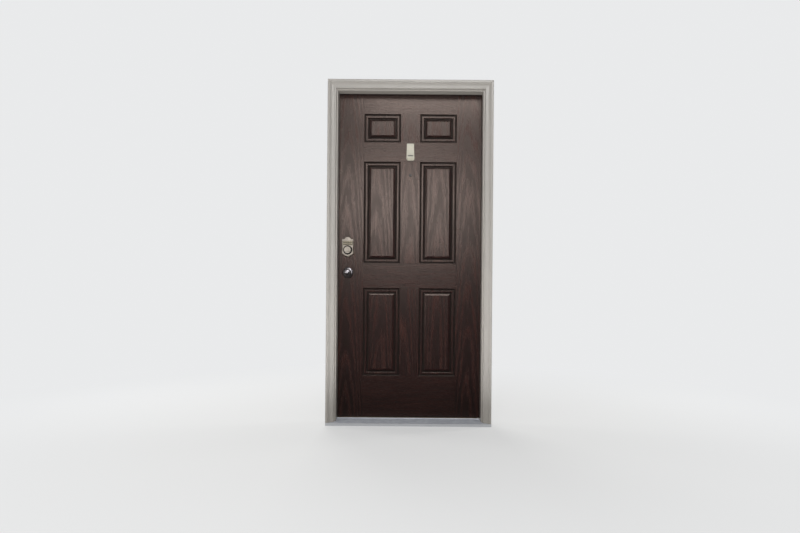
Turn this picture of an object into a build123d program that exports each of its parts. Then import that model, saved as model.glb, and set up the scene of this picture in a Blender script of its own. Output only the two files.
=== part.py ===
from build123d import *
import os

# A panelled entrance door hung in its own frame. X runs to the right as seen from outside, Y runs into the
# house and Z runs up. The origin is in the middle of the sill's underside, in the plane of the jambs' outer
# edges. All sizes are in millimetres.

# Door leaf
leaf_thickness = 44.5
leaf_bottom = 38.0
skin_thickness = 2.0
stile_width = 38.0
rail_height = 38.0
edge_gap = 3.0

# Panels, from the bottom of the leaf upwards, and the faces between and beside them
bottom_rail_face = 252.0
lower_panel_height = 547.0
lock_rail_face = 154.0
middle_panel_height = 633.0
frieze_rail_face = 120.0
top_panel_height = 177.0
top_rail_face = 130.0
mullion_face = 119.0
panel_width = 229.0
stile_face = 165.5

# Frame
jamb_depth = 116.0
jamb_thickness = 19.0
stop_projection = 12.7
seal_space = 12.0
casing_width = 50.8
casing_thickness = 31.8
casing_reveal = 8.0
casing_relief_width = 6.0
casing_relief_depth = 1.5
kerf_width = 3.0
kerf_depth = 9.0

# Sill
sill_nose = 34.0
sill_nose_height = 16.0
sill_slope_top = 28.0
sill_lip_height = 31.5
sill_cap_top = 33.0
sill_metal = 1.8
cap_floor = 20.0
cap_wall = 2.0
cap_play = 0.8
cap_edge = 1.5
cap_screw_sink = 4.0
cap_screw_length = 22.0

# Seals
seal_inset = 1.0
seal_reach = 3.3
seal_clearance = 0.2
seal_round = 4.5
fin_thickness = 2.4
sweep_clearance = 0.3
sweep_carrier = 2.0
sweep_fin = 2.0
corner_pad_thickness = 1.6
corner_pad_height = 45.0
corner_pad_depth = 22.0

# Hinges
hinge_height = 101.6
hinge_plate = 2.4
hinge_leaf_depth = 38.0
hinge_corner_radius = 12.0
knuckle_radius = 7.0
knuckle_count = 5
knuckle_clearance = 0.3
knuckle_gap = 0.3
pin_radius = 3.1
pin_play = 0.05
pin_head_radius = 5.0
pin_head_height = 2.5
hinge_top_offset = 178.0
hinge_bottom_offset = 279.0
hinge_screw_spacing = 34.0
hinge_screw_near = 12.0
hinge_screw_far = 26.0

# Screws
screw_radius = 2.2
screw_head_radius = 4.2
screw_length = 18.0
strike_screw_length = 16.0
strike_screw_inset = 9.0
face_screw_inset = 7.0
corner_screw_length = 45.0
corner_screw_inset = 30.0

# Locks
backset = 70.0
knob_height = 930.0
lock_spacing = 141.0
cross_bore_radius = 27.0
edge_bore_radius = 12.7
lock_block_width = 90.0
lock_block_margin = 80.0
face_plate_width = 25.4
face_plate_height = 57.2
face_plate_thickness = 2.2
face_plate_radius = 6.4
case_tube_radius = 12.2
case_body_reach = 16.0
case_body_depth = 18.0
case_body_height = 24.0
hub_radius = 6.0

# Latch
latch_width = 12.0
latch_height = 16.0
latch_length = 40.0
bolt_play = 0.2

# Deadbolt
bolt_radius = 10.6
bolt_width = 15.0
bolt_length = 58.0
bolt_edge = 0.8

# Strikes
strike_thickness = 1.6
latch_strike_width = 40.0
latch_strike_height = 57.2
deadbolt_strike_width = 30.0
deadbolt_strike_height = 70.0
strike_hole_margin = 2.0
strike_lip_height = 28.0
strike_lip_radius = 8.0
latch_pocket_depth = 12.0

# Knob
rose_radius = 34.0
rose_thickness = 10.0
rose_wall = 2.5
knob_neck_radius = 12.0
neck_clearance = 0.4
knob_radius = 25.5
knob_projection = 58.0
knob_neck_length = 14.0
knob_rim = 4.0
knob_rim_half = 8.0
knob_dome = 11.0
spindle_side = 7.6
socket_clearance = 0.15
socket_depth = 22.0
rose_screw_sink = 0.6
through_screw_spacing = 18.0
through_screw_end = 14.0
post_radius = 4.5
post_reach = 24.0

# Keypad lock outside
keypad_depth = 20.0
keypad_half_width = 35.5
keypad_waist = 34.4
keypad_flare = 36.6
keypad_flare_height = -19.0
keypad_top = 80.0
keypad_bottom = -42.0
keypad_edge = 2.5
keypad_border = 2.5
keypad_recess = 1.0
key_rows = 2
key_columns = 5
key_side = 8.4
key_corner = 1.5
key_edge = 0.8
key_pitch_x = 11.2
key_pitch_z = 12.0
key_middle_height = 46.0
key_play = 0.3
key_proud = 1.2
key_travel = 0.9
key_length = 5.0
turn_radius = 22.5
turn_ring_radius = 27.0
turn_ring_depth = 8.0
turn_projection = 17.0
turn_edge = 2.0
turn_shaft_radius = 8.0
turn_shaft_length = 12.0
turn_scallop_radius = 22.0
turn_scallop_depth = 3.8
turn_bar_half = 6.5
lamp_radius = 1.8
lamp_height = 66.0
lamp_depth = 1.5
keyhole_width = 2.2
keyhole_height = 8.5
keyhole_depth = 6.0

# Battery cover and turn inside
cover_width = 74.0
cover_bottom = -38.0
cover_top = 112.0
cover_depth = 28.0
cover_wall = 2.5
cover_radius = 14.0
cover_edge = 4.0
mounting_plate = 2.5
inner_shaft_radius = 9.0
inner_shaft_length = 8.0
inner_turn_base = 3.0
inner_turn_base_radius = 16.0
inner_turn_edge = 1.5
inner_turn_length = 40.0
inner_turn_width = 13.0
inner_turn_depth = 20.0
blade_width = 6.4
blade_thickness = 2.4

# Viewer and hook
viewer_drop = 84.0
viewer_bore_radius = 6.5
viewer_barrel_radius = 6.4
viewer_wall = 1.2
viewer_flange_radius = 9.0
viewer_flange = 3.0
viewer_barrel_length = 26.0
viewer_overlap = 6.0
hook_rise = 7.0
hook_height = 106.0
hook_width = 50.0
hook_top_width = 44.0
hook_plate = 5.0
hook_corner = 12.0
hook_top_corner = 5.0
hook_edge = 1.0
hook_gap = 11.0
hook_wall = 4.0
hook_floor = 4.0
hook_lip = 17.0
hook_lip_low = 6.0
hook_lip_width = 34.0
hook_slot_low = 25.0
hook_slot_height = 9.0
hook_slot_depth = 3.0
hook_seam_height = 61.0
hook_seam = 0.8

# Places worked out from the sizes above
leaf_width = mullion_face + 2 * (panel_width + stile_face)
leaf_front = jamb_depth - leaf_thickness
leaf_middle = jamb_depth - leaf_thickness / 2
lower_panel_top = leaf_bottom + bottom_rail_face + lower_panel_height
middle_panel_top = lower_panel_top + lock_rail_face + middle_panel_height
leaf_top = middle_panel_top + frieze_rail_face + top_panel_height + top_rail_face
half_leaf = leaf_width / 2
rabbet_x = half_leaf + edge_gap
stop_x = rabbet_x - stop_projection
jamb_x = rabbet_x + jamb_thickness
stop_depth = leaf_front - seal_space
rabbet_z = leaf_top + edge_gap
stop_z = rabbet_z - stop_projection
frame_top = rabbet_z + jamb_thickness
casing_x = stop_x + casing_reveal
casing_z = stop_z + casing_reveal
casing_outer_x = casing_x + casing_width
casing_top = casing_z + casing_width
core_front = leaf_front + skin_thickness
core_back = jamb_depth - skin_thickness
core_low = leaf_bottom + rail_height
core_high = leaf_top - rail_height
core_x = half_leaf - stile_width
lock_x = -half_leaf + backset
pin_x = half_leaf + edge_gap / 2
pin_y = jamb_depth + knuckle_radius + knuckle_clearance
cap_front = stop_depth + cap_play
lip_front = cap_front - cap_wall
seal_low_z = rabbet_z - stop_projection - seal_reach
panel_centre_x = (mullion_face + panel_width) / 2
panel_rows = [
    (lower_panel_top - lower_panel_height / 2, lower_panel_height),
    (middle_panel_top - middle_panel_height / 2, middle_panel_height),
    (leaf_top - top_rail_face - top_panel_height / 2, top_panel_height),
]
hinge_places = {
    "lower": leaf_bottom + hinge_bottom_offset + hinge_height / 2,
    "middle": (leaf_bottom + leaf_top) / 2,
    "upper": leaf_top - hinge_top_offset - hinge_height / 2,
}
deadbolt_height = knob_height + lock_spacing
lock_heights = [knob_height, deadbolt_height]
viewer_height = middle_panel_top - viewer_drop
hook_bottom = middle_panel_top + hook_rise
whole_depth = (core_front - 1, core_back + 1)

parts = {}


def block(x, y, z):
    """A box between the low and high value of each axis."""
    size = [high - low for low, high in (x, y, z)]
    middle = [(high + low) / 2 for low, high in (x, y, z)]
    return Pos(*middle) * Box(*size)


def rod_x(start, end, y, z, radius):
    """A round bar along X."""
    return Pos((start + end) / 2, y, z) * Rot(0, 90, 0) * Cylinder(radius, abs(end - start))


def rod_y(start, end, x, z, radius):
    """A round bar along Y."""
    return Pos(x, (start + end) / 2, z) * Rot(90, 0, 0) * Cylinder(radius, abs(end - start))


def rod_z(start, end, x, y, radius):
    """A round bar along Z."""
    return Pos(x, y, (start + end) / 2) * Cylinder(radius, abs(end - start))


def screw(direction, position, length):
    """A countersunk screw driven along a direction, with its head's face at a position."""
    cone = screw_head_radius - screw_radius
    side = [(screw_head_radius, 0), (screw_radius, -cone), (screw_radius, -length)]
    outline = Polyline((0, 0), *side, (0, -length), close=True)
    upright = revolve(Plane.XZ * make_face(outline), Axis.Z)
    return Plane(origin=position, z_dir=tuple(-value for value in direction)) * upright


def prism_x(section, start, end):
    """Pushes a sketch drawn in Y and Z along X."""
    plane = Plane(origin=(start, 0, 0), x_dir=(0, 1, 0), z_dir=(1, 0, 0))
    return extrude(plane * section, amount=end - start, dir=(1, 0, 0))


def prism_y(section, start, end):
    """Pushes a sketch drawn in X and Z into the house."""
    plane = Plane(origin=(0, start, 0), x_dir=(1, 0, 0), z_dir=(0, -1, 0))
    return extrude(plane * section, amount=end - start, dir=(0, 1, 0))


def prism_z(section, start, end):
    """Pushes a sketch drawn in X and Y upwards."""
    return extrude(Pos(0, 0, start) * section, amount=end - start, dir=(0, 0, 1))


def turned(section, x, z, face_y, outward):
    """Turns a sketch about a line along Y. Its first value is the radius, the second the height over a face
    of the leaf, counted to the outside for outward = -1 and to the inside for outward = 1."""
    plane = Plane(origin=(x, face_y, z), x_dir=(1, 0, 0), z_dir=(0, 0, outward))
    return revolve(plane * section, Axis((x, face_y, z), (0, 1, 0)))


def both_sides(solid):
    """A solid and its mirror image on the other side of the doorway."""
    return [solid, mirror(solid, about=Plane.YZ)]


def group(solids):
    """Several separate solids in one node."""
    return Compound(children=list(solids))


def moulding_groove():
    """What a panel's moulding cuts below the flat face. The first value runs from the panel's outer edge to
    its field, the second into the leaf: a quirk, a broad bead and the bevel up to the raised field."""
    edges = [
        RadiusArc((0, 0), (1.6, 1.8), -2),
        Polyline((1.6, 1.8), (2.4, 5.0), (6.0, 6.8), (9.0, 6.8)),
        ThreePointArc((9.0, 6.8), (10.4, 4.9), (12.5, 4.2)),
        Line((12.5, 4.2), (21.5, 4.2)),
        ThreePointArc((21.5, 4.2), (23.8, 5.2), (25.0, 7.6)),
        Polyline((25.0, 7.6), (25.4, 10.0), (27.5, 10.0), (43.0, 2.4)),
        ThreePointArc((43.0, 2.4), (44.8, 1.4), (45.5, 0)),
        Polyline((45.5, 0), (45.5, -1), (0, -1), (0, 0)),
    ]
    return make_face(edges)


def moulding_back():
    """The hollow side of the same moulding, at least a skin's thickness behind the groove."""
    points = [(-1.6, 1), (0.4, 6.4), (10.5, 11.4), (27.5, 12.2), (44.5, 4.6), (47.4, 1)]
    return make_face(Polyline(*points, close=True))


def panel_ring(section, height):
    """Runs a moulding section round a panel whose face lies in the plane y = 0."""
    half_w = panel_width / 2
    half_h = height / 2
    start = Plane(origin=(-half_w, 0, 0), x_dir=(1, 0, 0), z_dir=(0, 0, -1))
    corners = [(-half_w, half_h), (half_w, half_h), (half_w, -half_h), (-half_w, -half_h)]
    route = [(-half_w, 0, 0)] + [(x, 0, z) for x, z in corners] + [(-half_w, 0, 0)]
    standing = start * mirror(section, about=Plane.XZ)
    return sweep(standing, path=Polyline(*route), transition=Transition.RIGHT)


def panel_rings(section):
    """The rings of all six panels in the plane y = 0."""
    rings = []
    for z, height in panel_rows:
        ring = panel_ring(section, height)
        rings += [Pos(-panel_centre_x, 0, z) * ring, Pos(panel_centre_x, 0, z) * ring]
    return rings


def lock_bores(start, end):
    """The two large bores that hold the locks."""
    return [rod_y(start, end, lock_x, z, cross_bore_radius) for z in lock_heights]


def viewer_bore(start, end):
    """The bore that holds the viewer."""
    return rod_y(start, end, 0, viewer_height, viewer_bore_radius)


def edge_bores():
    """The bores from the leaf's lock edge to the large ones, with the mortises of the face plates."""
    bores = [rod_x(-half_leaf - 1, lock_x, leaf_middle, z, edge_bore_radius) for z in lock_heights]
    return bores + [face_plate(z) for z in lock_heights]


def face_plate(z):
    """A rounded plate let into the leaf's lock edge."""
    section = Pos(leaf_middle, z) * RectangleRounded(face_plate_width, face_plate_height, face_plate_radius)
    return prism_x(section, -half_leaf, -half_leaf + face_plate_thickness)


def face_screws(z):
    """The two screws of one face plate."""
    reach = face_plate_height / 2 - face_screw_inset
    return [screw((1, 0, 0), (-half_leaf, leaf_middle, z + s * reach), screw_length) for s in (-1, 1)]


def hinge_plate_section(z):
    """A hinge leaf's flat plate in Y and Z, rounded at the corners away from the knuckles."""
    middle = Pos(jamb_depth - hinge_leaf_depth / 2, z)
    plate = middle * Rectangle(hinge_leaf_depth, hinge_height)
    corners = plate.vertices().group_by(Axis.X)[0]
    return fillet(corners, hinge_corner_radius)


def knuckles(z, which, plate_x):
    """The knuckles of one hinge leaf and the strips that join them to its plate."""
    pitch = hinge_height / knuckle_count
    solids = []
    for index in which:
        low = z - hinge_height / 2 + index * pitch + knuckle_gap / 2
        high = low + pitch - knuckle_gap
        solids.append(rod_z(low, high, pin_x, pin_y, knuckle_radius))
        solids.append(block(plate_x, (jamb_depth - 1, pin_y), (low, high)))
    return solids


def hinge_screws(z, x, direction):
    """The three screws of one hinge leaf."""
    outer = [(-hinge_screw_spacing, hinge_screw_near), (hinge_screw_spacing, hinge_screw_near)]
    places = [outer[0], (0, hinge_screw_far), outer[1]]
    return [screw((direction, 0, 0), (x, jamb_depth - inset, z + up), screw_length) for up, inset in places]


def build_hinges():
    """Three butt hinges: a leaf on the jamb, a leaf on the door, and a pin in the jamb's knuckles."""
    pins = []
    leaf_screws = []
    jamb_screws = []
    leaf_cuts = []
    jamb_cuts = []
    for name, z in hinge_places.items():
        low = z - hinge_height / 2
        high = z + hinge_height / 2
        bore = rod_z(low - 1, high + 1, pin_x, pin_y, pin_radius + pin_play)
        section = hinge_plate_section(z)
        door_x = (half_leaf - hinge_plate, half_leaf)
        jamb_plate_x = (rabbet_x, rabbet_x + hinge_plate)
        door_plate = prism_x(section, *door_x)
        jamb_plate = prism_x(section, *jamb_plate_x)
        door_screws = hinge_screws(z, half_leaf, -1)
        frame_screws = hinge_screws(z, rabbet_x, 1)
        odd = range(1, knuckle_count, 2)
        even = range(0, knuckle_count, 2)
        parts[name + "_door_hinge_leaf"] = door_plate + knuckles(z, odd, door_x) - bore - door_screws
        parts[name + "_jamb_hinge_leaf"] = jamb_plate + knuckles(z, even, jamb_plate_x) - bore - frame_screws
        head = rod_z(high, high + pin_head_height, pin_x, pin_y, pin_head_radius)
        pins.append(rod_z(low, high, pin_x, pin_y, pin_radius) + head)
        leaf_screws += door_screws
        jamb_screws += frame_screws
        leaf_cuts += [door_plate] + door_screws
        jamb_cuts += [jamb_plate] + frame_screws
    parts["hinge_pins"] = group(pins)
    return leaf_screws, jamb_screws, leaf_cuts, jamb_cuts


def build_leaf(leaf_cuts):
    """The door leaf: two moulded skins over stiles, rails, a lock block and a foam core."""
    grooves = panel_rings(moulding_groove())
    hollows = panel_rings(moulding_back())
    sheet = block((-half_leaf, half_leaf), (0, skin_thickness), (leaf_bottom, leaf_top))
    skin = sheet + hollows - grooves
    outer = Pos(0, leaf_front, 0) * skin
    inner = Pos(0, jamb_depth, 0) * mirror(skin, about=Plane.XZ)
    outer_depth = (leaf_front - 1, whole_depth[1])
    inner_depth = (whole_depth[0], jamb_depth + 1)
    parts["outer_skin"] = outer - lock_bores(*outer_depth) - viewer_bore(*outer_depth)
    parts["inner_skin"] = inner - lock_bores(*inner_depth) - viewer_bore(*inner_depth) - leaf_cuts

    depth = (core_front, core_back)
    screws = face_screws(knob_height) + face_screws(deadbolt_height)
    block_x = (-core_x, -core_x + lock_block_width)
    block_z = (knob_height - lock_block_margin, deadbolt_height + lock_block_margin)
    parts["hinge_stile"] = block((core_x, half_leaf), depth, (leaf_bottom, leaf_top)) - leaf_cuts
    lock_stile = block((-half_leaf, -core_x), depth, (leaf_bottom, leaf_top))
    parts["lock_stile"] = lock_stile - edge_bores() - lock_bores(*whole_depth) - screws
    parts["bottom_rail"] = block((-core_x, core_x), depth, (leaf_bottom, core_low))
    parts["top_rail"] = block((-core_x, core_x), depth, (core_high, leaf_top))
    lock_block = block(block_x, depth, block_z)
    parts["lock_block"] = lock_block - lock_bores(*whole_depth) - edge_bores()[:2]
    core = block((-core_x, core_x), depth, (core_low, core_high)) - lock_block
    for hollow in hollows:
        front = Pos(0, leaf_front, 0) * hollow
        back = Pos(0, jamb_depth, 0) * mirror(hollow, about=Plane.XZ)
        core = core - front - back
    parts["foam_core"] = core - viewer_bore(*whole_depth)


def build_sweep():
    """The sweep under the leaf: a carrier strip with three fins that brush over the sill's cap."""
    carrier_low = leaf_bottom - sweep_carrier
    carrier = block((-half_leaf, half_leaf), (core_front, core_back), (carrier_low, leaf_bottom))
    fins = []
    for share in (0.15, 0.5, 0.85):
        y = core_front + share * (core_back - core_front)
        low = sill_cap_top + sweep_clearance
        fin_y = (y - sweep_fin / 2, y + sweep_fin / 2)
        fins.append(block((-half_leaf, half_leaf), fin_y, (low, carrier_low)))
    parts["door_sweep"] = carrier + fins


def sill_front_points():
    """The sill's outline from its nose to the lip in front of the cap."""
    return [
        (-sill_nose, 0),
        (-sill_nose, sill_nose_height),
        (lip_front, sill_slope_top),
        (lip_front, sill_lip_height),
        (cap_front, sill_lip_height),
    ]


def sill_outline():
    """The sill's section in Y and Z, with the channel for its cap."""
    wall = jamb_depth - cap_wall
    back = [(cap_front, cap_floor), (wall, cap_floor), (wall, sill_lip_height), (jamb_depth, sill_lip_height)]
    return make_face(Polyline(*sill_front_points(), *back, (jamb_depth, 0), close=True))


def sill_envelope():
    """The sill's section with the channel filled, for coping the stops and the casing over it."""
    back = [(jamb_depth, sill_lip_height), (jamb_depth, 0)]
    return make_face(Polyline(*sill_front_points(), *back, close=True))


def sill_base_outline():
    """The composite base inside the metal deck."""
    front = -sill_nose + sill_metal
    under = cap_floor - cap_wall
    points = [
        (front, 0),
        (front, sill_nose_height - sill_metal),
        (lip_front, sill_slope_top - sill_metal),
        (lip_front, under),
        (jamb_depth - sill_metal, under),
        (jamb_depth - sill_metal, 0),
    ]
    return make_face(Polyline(*points, close=True))


def build_sill():
    """The sill: a composite base in a folded metal deck, with a cap on adjusting screws."""
    outside = block((rabbet_x, casing_outer_x + 1), (0, jamb_depth + 1), (-1, sill_lip_height + 1))
    cap_low = cap_floor + cap_play
    cap_y = (cap_front + cap_play, jamb_depth - cap_wall - cap_play)
    cap = block((-rabbet_x, rabbet_x), cap_y, (cap_low, sill_cap_top))
    cap = chamfer(cap.edges().filter_by(Axis.X).group_by(Axis.Z)[-1], cap_edge)
    screws = []
    for share in (-0.8, -0.3, 0.3, 0.8):
        place = (share * half_leaf, sum(cap_y) / 2, sill_cap_top - cap_screw_sink)
        screws.append(screw((0, 0, -1), place, cap_screw_length))
        cap = cap - rod_z(place[2], sill_cap_top + 1, place[0], place[1], screw_head_radius)
    base = prism_x(sill_base_outline(), -casing_outer_x, casing_outer_x)
    deck = prism_x(sill_outline(), -casing_outer_x, casing_outer_x) - base
    parts["sill_base"] = base - both_sides(outside) - screws
    parts["sill_deck"] = deck - both_sides(outside) - screws
    parts["sill_cap"] = cap - screws
    return screws


def jamb_section():
    """A jamb's board with its stop and the slot for the seal. The first value runs away from the opening,
    counted from the rabbet, the second into the house."""
    board = Pos(jamb_thickness / 2, jamb_depth / 2) * Rectangle(jamb_thickness, jamb_depth)
    stop = Pos(-stop_projection / 2, stop_depth / 2) * Rectangle(stop_projection, stop_depth)
    kerf = Pos(-seal_inset - kerf_width / 2, stop_depth - kerf_depth / 2) * Rectangle(kerf_width, kerf_depth)
    return board + stop - kerf


def seal_section():
    """A compression seal in the same measures: a bulb against the leaf and a fin in the jamb's slot."""
    width = stop_projection + seal_reach - seal_inset
    height = seal_space - seal_clearance
    bulb = Pos(-seal_inset - width / 2, stop_depth + height / 2) * Rectangle(width, height)
    bulb = fillet(bulb.vertices().group_by(Axis.X)[0], seal_round)
    fin_length = kerf_depth - 1
    fin_x = -seal_inset - kerf_width / 2
    return bulb + Pos(fin_x, stop_depth - fin_length / 2) * Rectangle(fin_thickness, fin_length)


def casing_section():
    """The casing's section: the first value from its inner to its outer edge, the second is minus its
    thickness at that point. A relief behind it parts the strip on the jamb from the strip on the wall."""
    edges = [
        Line((0, 0), (0, -12)),
        ThreePointArc((0, -12), (2.2, -16.4), (6.5, -17.8)),
        Polyline((6.5, -17.8), (10.5, -17.8), (10.5, -20.0)),
        ThreePointArc((10.5, -20.0), (23.5, -21.6), (34.0, -28.6)),
        Polyline((34.0, -28.6), (35.5, -28.6), (37.5, -casing_thickness)),
        Line((37.5, -casing_thickness), (casing_width - 3, -casing_thickness)),
        RadiusArc((casing_width - 3, -casing_thickness), (casing_width, -casing_thickness + 3), -3),
        Polyline((casing_width, -casing_thickness + 3), (casing_width, 0), (0, 0)),
    ]
    relief_x = jamb_x - casing_x + casing_relief_width / 2
    relief = Pos(relief_x, -casing_relief_depth / 2) * Rectangle(casing_relief_width, casing_relief_depth)
    return make_face(edges) - relief


def head_plane(z):
    """Lays a section drawn for a side jamb across the head: away from the opening becomes upwards."""
    return Plane(origin=(0, 0, z), x_dir=(0, 0, 1), z_dir=(-1, 0, 0))


def across(section, z, half_length):
    """A head piece from a section drawn for a side piece."""
    return extrude(head_plane(z) * section, amount=half_length, dir=(1, 0, 0), both=True)


def build_jambs(jamb_cuts, strike_cuts, corner_screws):
    """Three jambs, the side ones coped over the sill and under the head jamb's stop."""
    side = prism_z(Pos(rabbet_x, 0) * jamb_section(), 0, frame_top)
    under_head = block((stop_x - 1, rabbet_x), (-1, jamb_depth), (stop_z, frame_top + 1))
    side = side - under_head - prism_x(sill_envelope(), stop_x - 1, rabbet_x)
    parts["hinge_jamb"] = side - jamb_cuts - corner_screws
    parts["latch_jamb"] = mirror(side, about=Plane.YZ) - strike_cuts - corner_screws
    parts["head_jamb"] = across(jamb_section(), rabbet_z, rabbet_x) - corner_screws


def build_casing():
    """The casing: two legs standing on the sill's nose and a head piece, mitred together."""
    leg = prism_z(Pos(casing_x, 0) * casing_section(), 0, casing_top)
    leg_face = Polyline(
        (casing_x, 0), (casing_outer_x, 0), (casing_outer_x, casing_top), (casing_x, casing_z), close=True
    )
    leg = leg & prism_y(make_face(leg_face), -casing_thickness, 0)
    leg = leg - prism_x(sill_envelope(), casing_x - 1, casing_outer_x + 1)
    head_face = Polyline(
        (-casing_outer_x, casing_top),
        (casing_outer_x, casing_top),
        (casing_x, casing_z),
        (-casing_x, casing_z),
        close=True,
    )
    head = across(casing_section(), casing_z, casing_outer_x)
    parts["hinge_side_casing"] = leg
    parts["latch_side_casing"] = mirror(leg, about=Plane.YZ)
    parts["head_casing"] = head & prism_y(make_face(head_face), -casing_thickness, 0)


def build_seals():
    """The compression seals along three sides and the foam pads in the two lower corners."""
    side = prism_z(Pos(rabbet_x, 0) * seal_section(), sill_cap_top, seal_low_z)
    parts["hinge_side_seal"] = side
    parts["latch_side_seal"] = mirror(side, about=Plane.YZ)
    parts["head_seal"] = across(seal_section(), rabbet_z, rabbet_x - seal_inset)
    pad_y = (leaf_front + 1, leaf_front + 1 + corner_pad_depth)
    pad_z = (sill_cap_top, sill_cap_top + corner_pad_height)
    pad = block((rabbet_x - corner_pad_thickness, rabbet_x), pad_y, pad_z)
    parts["corner_pads"] = group(both_sides(pad))


def corner_fastenings():
    """Screws through the side jambs into the head jamb and into the sill's base."""
    screws = []
    for y in (corner_screw_inset, jamb_depth - corner_screw_inset):
        for side in (-1, 1):
            x = side * jamb_x
            head_place = (x, y, rabbet_z + jamb_thickness / 2)
            base_place = (x, y, (cap_floor - cap_wall) / 2)
            for place in (head_place, base_place):
                screws.append(screw((-side, 0, 0), place, corner_screw_length))
    return screws


def latch_shape(play, start):
    """The latch bolt's bar, or the space that it runs in."""
    half_w = latch_width / 2 + play
    half_h = latch_height / 2 + play
    depth = (leaf_middle - half_w, leaf_middle + half_w)
    height = (knob_height - half_h, knob_height + half_h)
    return block((start, -half_leaf + latch_length + play), depth, height)


def deadbolt_shape(play, start):
    """The deadbolt's round bar with two flats, or the space that it runs in."""
    half_w = bolt_width / 2 + play
    end = -half_leaf + bolt_length + play
    bar = rod_x(start, end, leaf_middle, deadbolt_height, bolt_radius + play)
    depth = (leaf_middle - half_w, leaf_middle + half_w)
    height = (deadbolt_height - bolt_radius - 1, deadbolt_height + bolt_radius + 1)
    return bar & block((start, end), depth, height)


def lock_case(z, channel):
    """A tubular case with its face plate, bolt channel and hub."""
    tube_start = -half_leaf + face_plate_thickness
    tube = rod_x(tube_start, lock_x - case_body_reach, leaf_middle, z, case_tube_radius)
    body_y = (leaf_middle - case_body_depth / 2, leaf_middle + case_body_depth / 2)
    body_z = (z - case_body_height / 2, z + case_body_height / 2)
    body = block((lock_x - case_body_reach - 1, lock_x + case_body_reach), body_y, body_z)
    hub = rod_y(*whole_depth, lock_x, z, hub_radius)
    return face_plate(z) + tube + body - channel - hub - face_screws(z)


def build_bolts():
    """The latch bolt with its bevel towards the outside, the deadbolt, and their cases."""
    latch = latch_shape(0, -half_leaf)
    low_y = leaf_middle - latch_width / 2
    high_y = leaf_middle + latch_width / 2
    tip_x = -half_leaf - 1
    bevel = Polyline(
        (tip_x, low_y - 1), (-half_leaf + latch_width, low_y - 1), (tip_x, high_y), close=True
    )
    latch = latch - prism_z(make_face(bevel), knob_height - latch_height, knob_height + latch_height)
    parts["latch_bolt"] = latch
    deadbolt = deadbolt_shape(0, -half_leaf)
    parts["deadbolt"] = chamfer(deadbolt.faces().sort_by(Axis.X)[0].edges(), bolt_edge)
    parts["latch_case"] = lock_case(knob_height, latch_shape(bolt_play, -half_leaf - 1))
    parts["deadbolt_case"] = lock_case(deadbolt_height, deadbolt_shape(bolt_play, -half_leaf - 1))


def strike_plate(z, width, height, low_y):
    """A strike's flat plate in the latch jamb's rabbet."""
    section = Pos(low_y + width / 2, z) * RectangleRounded(width, height, face_plate_radius)
    return prism_x(section, -rabbet_x - strike_thickness, -rabbet_x)


def strike_screws(z, height):
    """The two screws of a strike plate."""
    reach = height / 2 - strike_screw_inset
    return [
        screw((-1, 0, 0), (-rabbet_x, leaf_middle, z + s * reach), strike_screw_length) for s in (-1, 1)
    ]


def build_strikes():
    """Two strike plates with the pockets that the bolts enter."""
    latch_plate = strike_plate(
        knob_height, latch_strike_width, latch_strike_height, jamb_depth - latch_strike_width
    )
    bolt_plate_y = leaf_middle - deadbolt_strike_width / 2
    bolt_plate = strike_plate(
        deadbolt_height, deadbolt_strike_width, deadbolt_strike_height, bolt_plate_y
    )
    bend_x = -rabbet_x - strike_lip_radius
    bend = Pos(bend_x, jamb_depth - 1) * Circle(strike_lip_radius)
    bend = bend - Pos(bend_x, jamb_depth - 1) * Circle(strike_lip_radius - strike_thickness)
    corner = Pos(-rabbet_x - strike_lip_radius / 4, jamb_depth + strike_lip_radius / 2)
    bend = bend & corner * Rectangle(strike_lip_radius / 2, strike_lip_radius)
    lip_z = (knob_height - strike_lip_height / 2, knob_height + strike_lip_height / 2)
    latch_plate = latch_plate + prism_z(bend, *lip_z)

    half_w = latch_width / 2 + strike_hole_margin
    half_h = latch_height / 2 + strike_hole_margin
    pocket_y = (leaf_middle - half_w, leaf_middle + half_w)
    pocket_z = (knob_height - half_h, knob_height + half_h)
    latch_pocket = block((-rabbet_x - latch_pocket_depth, -rabbet_x + 1), pocket_y, pocket_z)
    bolt_pocket = rod_x(
        -jamb_x - 1, -rabbet_x + 1, leaf_middle, deadbolt_height, bolt_radius + strike_hole_margin
    )
    screws = strike_screws(knob_height, latch_strike_height)
    screws += strike_screws(deadbolt_height, deadbolt_strike_height)
    parts["latch_strike"] = latch_plate - latch_pocket - screws
    parts["deadbolt_strike"] = bolt_plate - bolt_pocket - screws
    return screws, [latch_plate, bolt_plate, latch_pocket, bolt_pocket] + screws


def rose_section():
    """A hollow rose, drawn as radius and height over the door's face."""
    inner = knob_neck_radius + neck_clearance
    edges = [
        Polyline((inner, rose_thickness - rose_wall), (inner, rose_thickness), (inner + 8, rose_thickness)),
        ThreePointArc((inner + 8, rose_thickness), (rose_radius - 3.5, rose_thickness - 3), (rose_radius, 2)),
        Polyline(
            (rose_radius, 2),
            (rose_radius, 0),
            (rose_radius - rose_wall, 0),
            (rose_radius - rose_wall, 2),
            (inner + 7.5, rose_thickness - rose_wall),
            (inner, rose_thickness - rose_wall),
        ),
    ]
    return make_face(edges)


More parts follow.
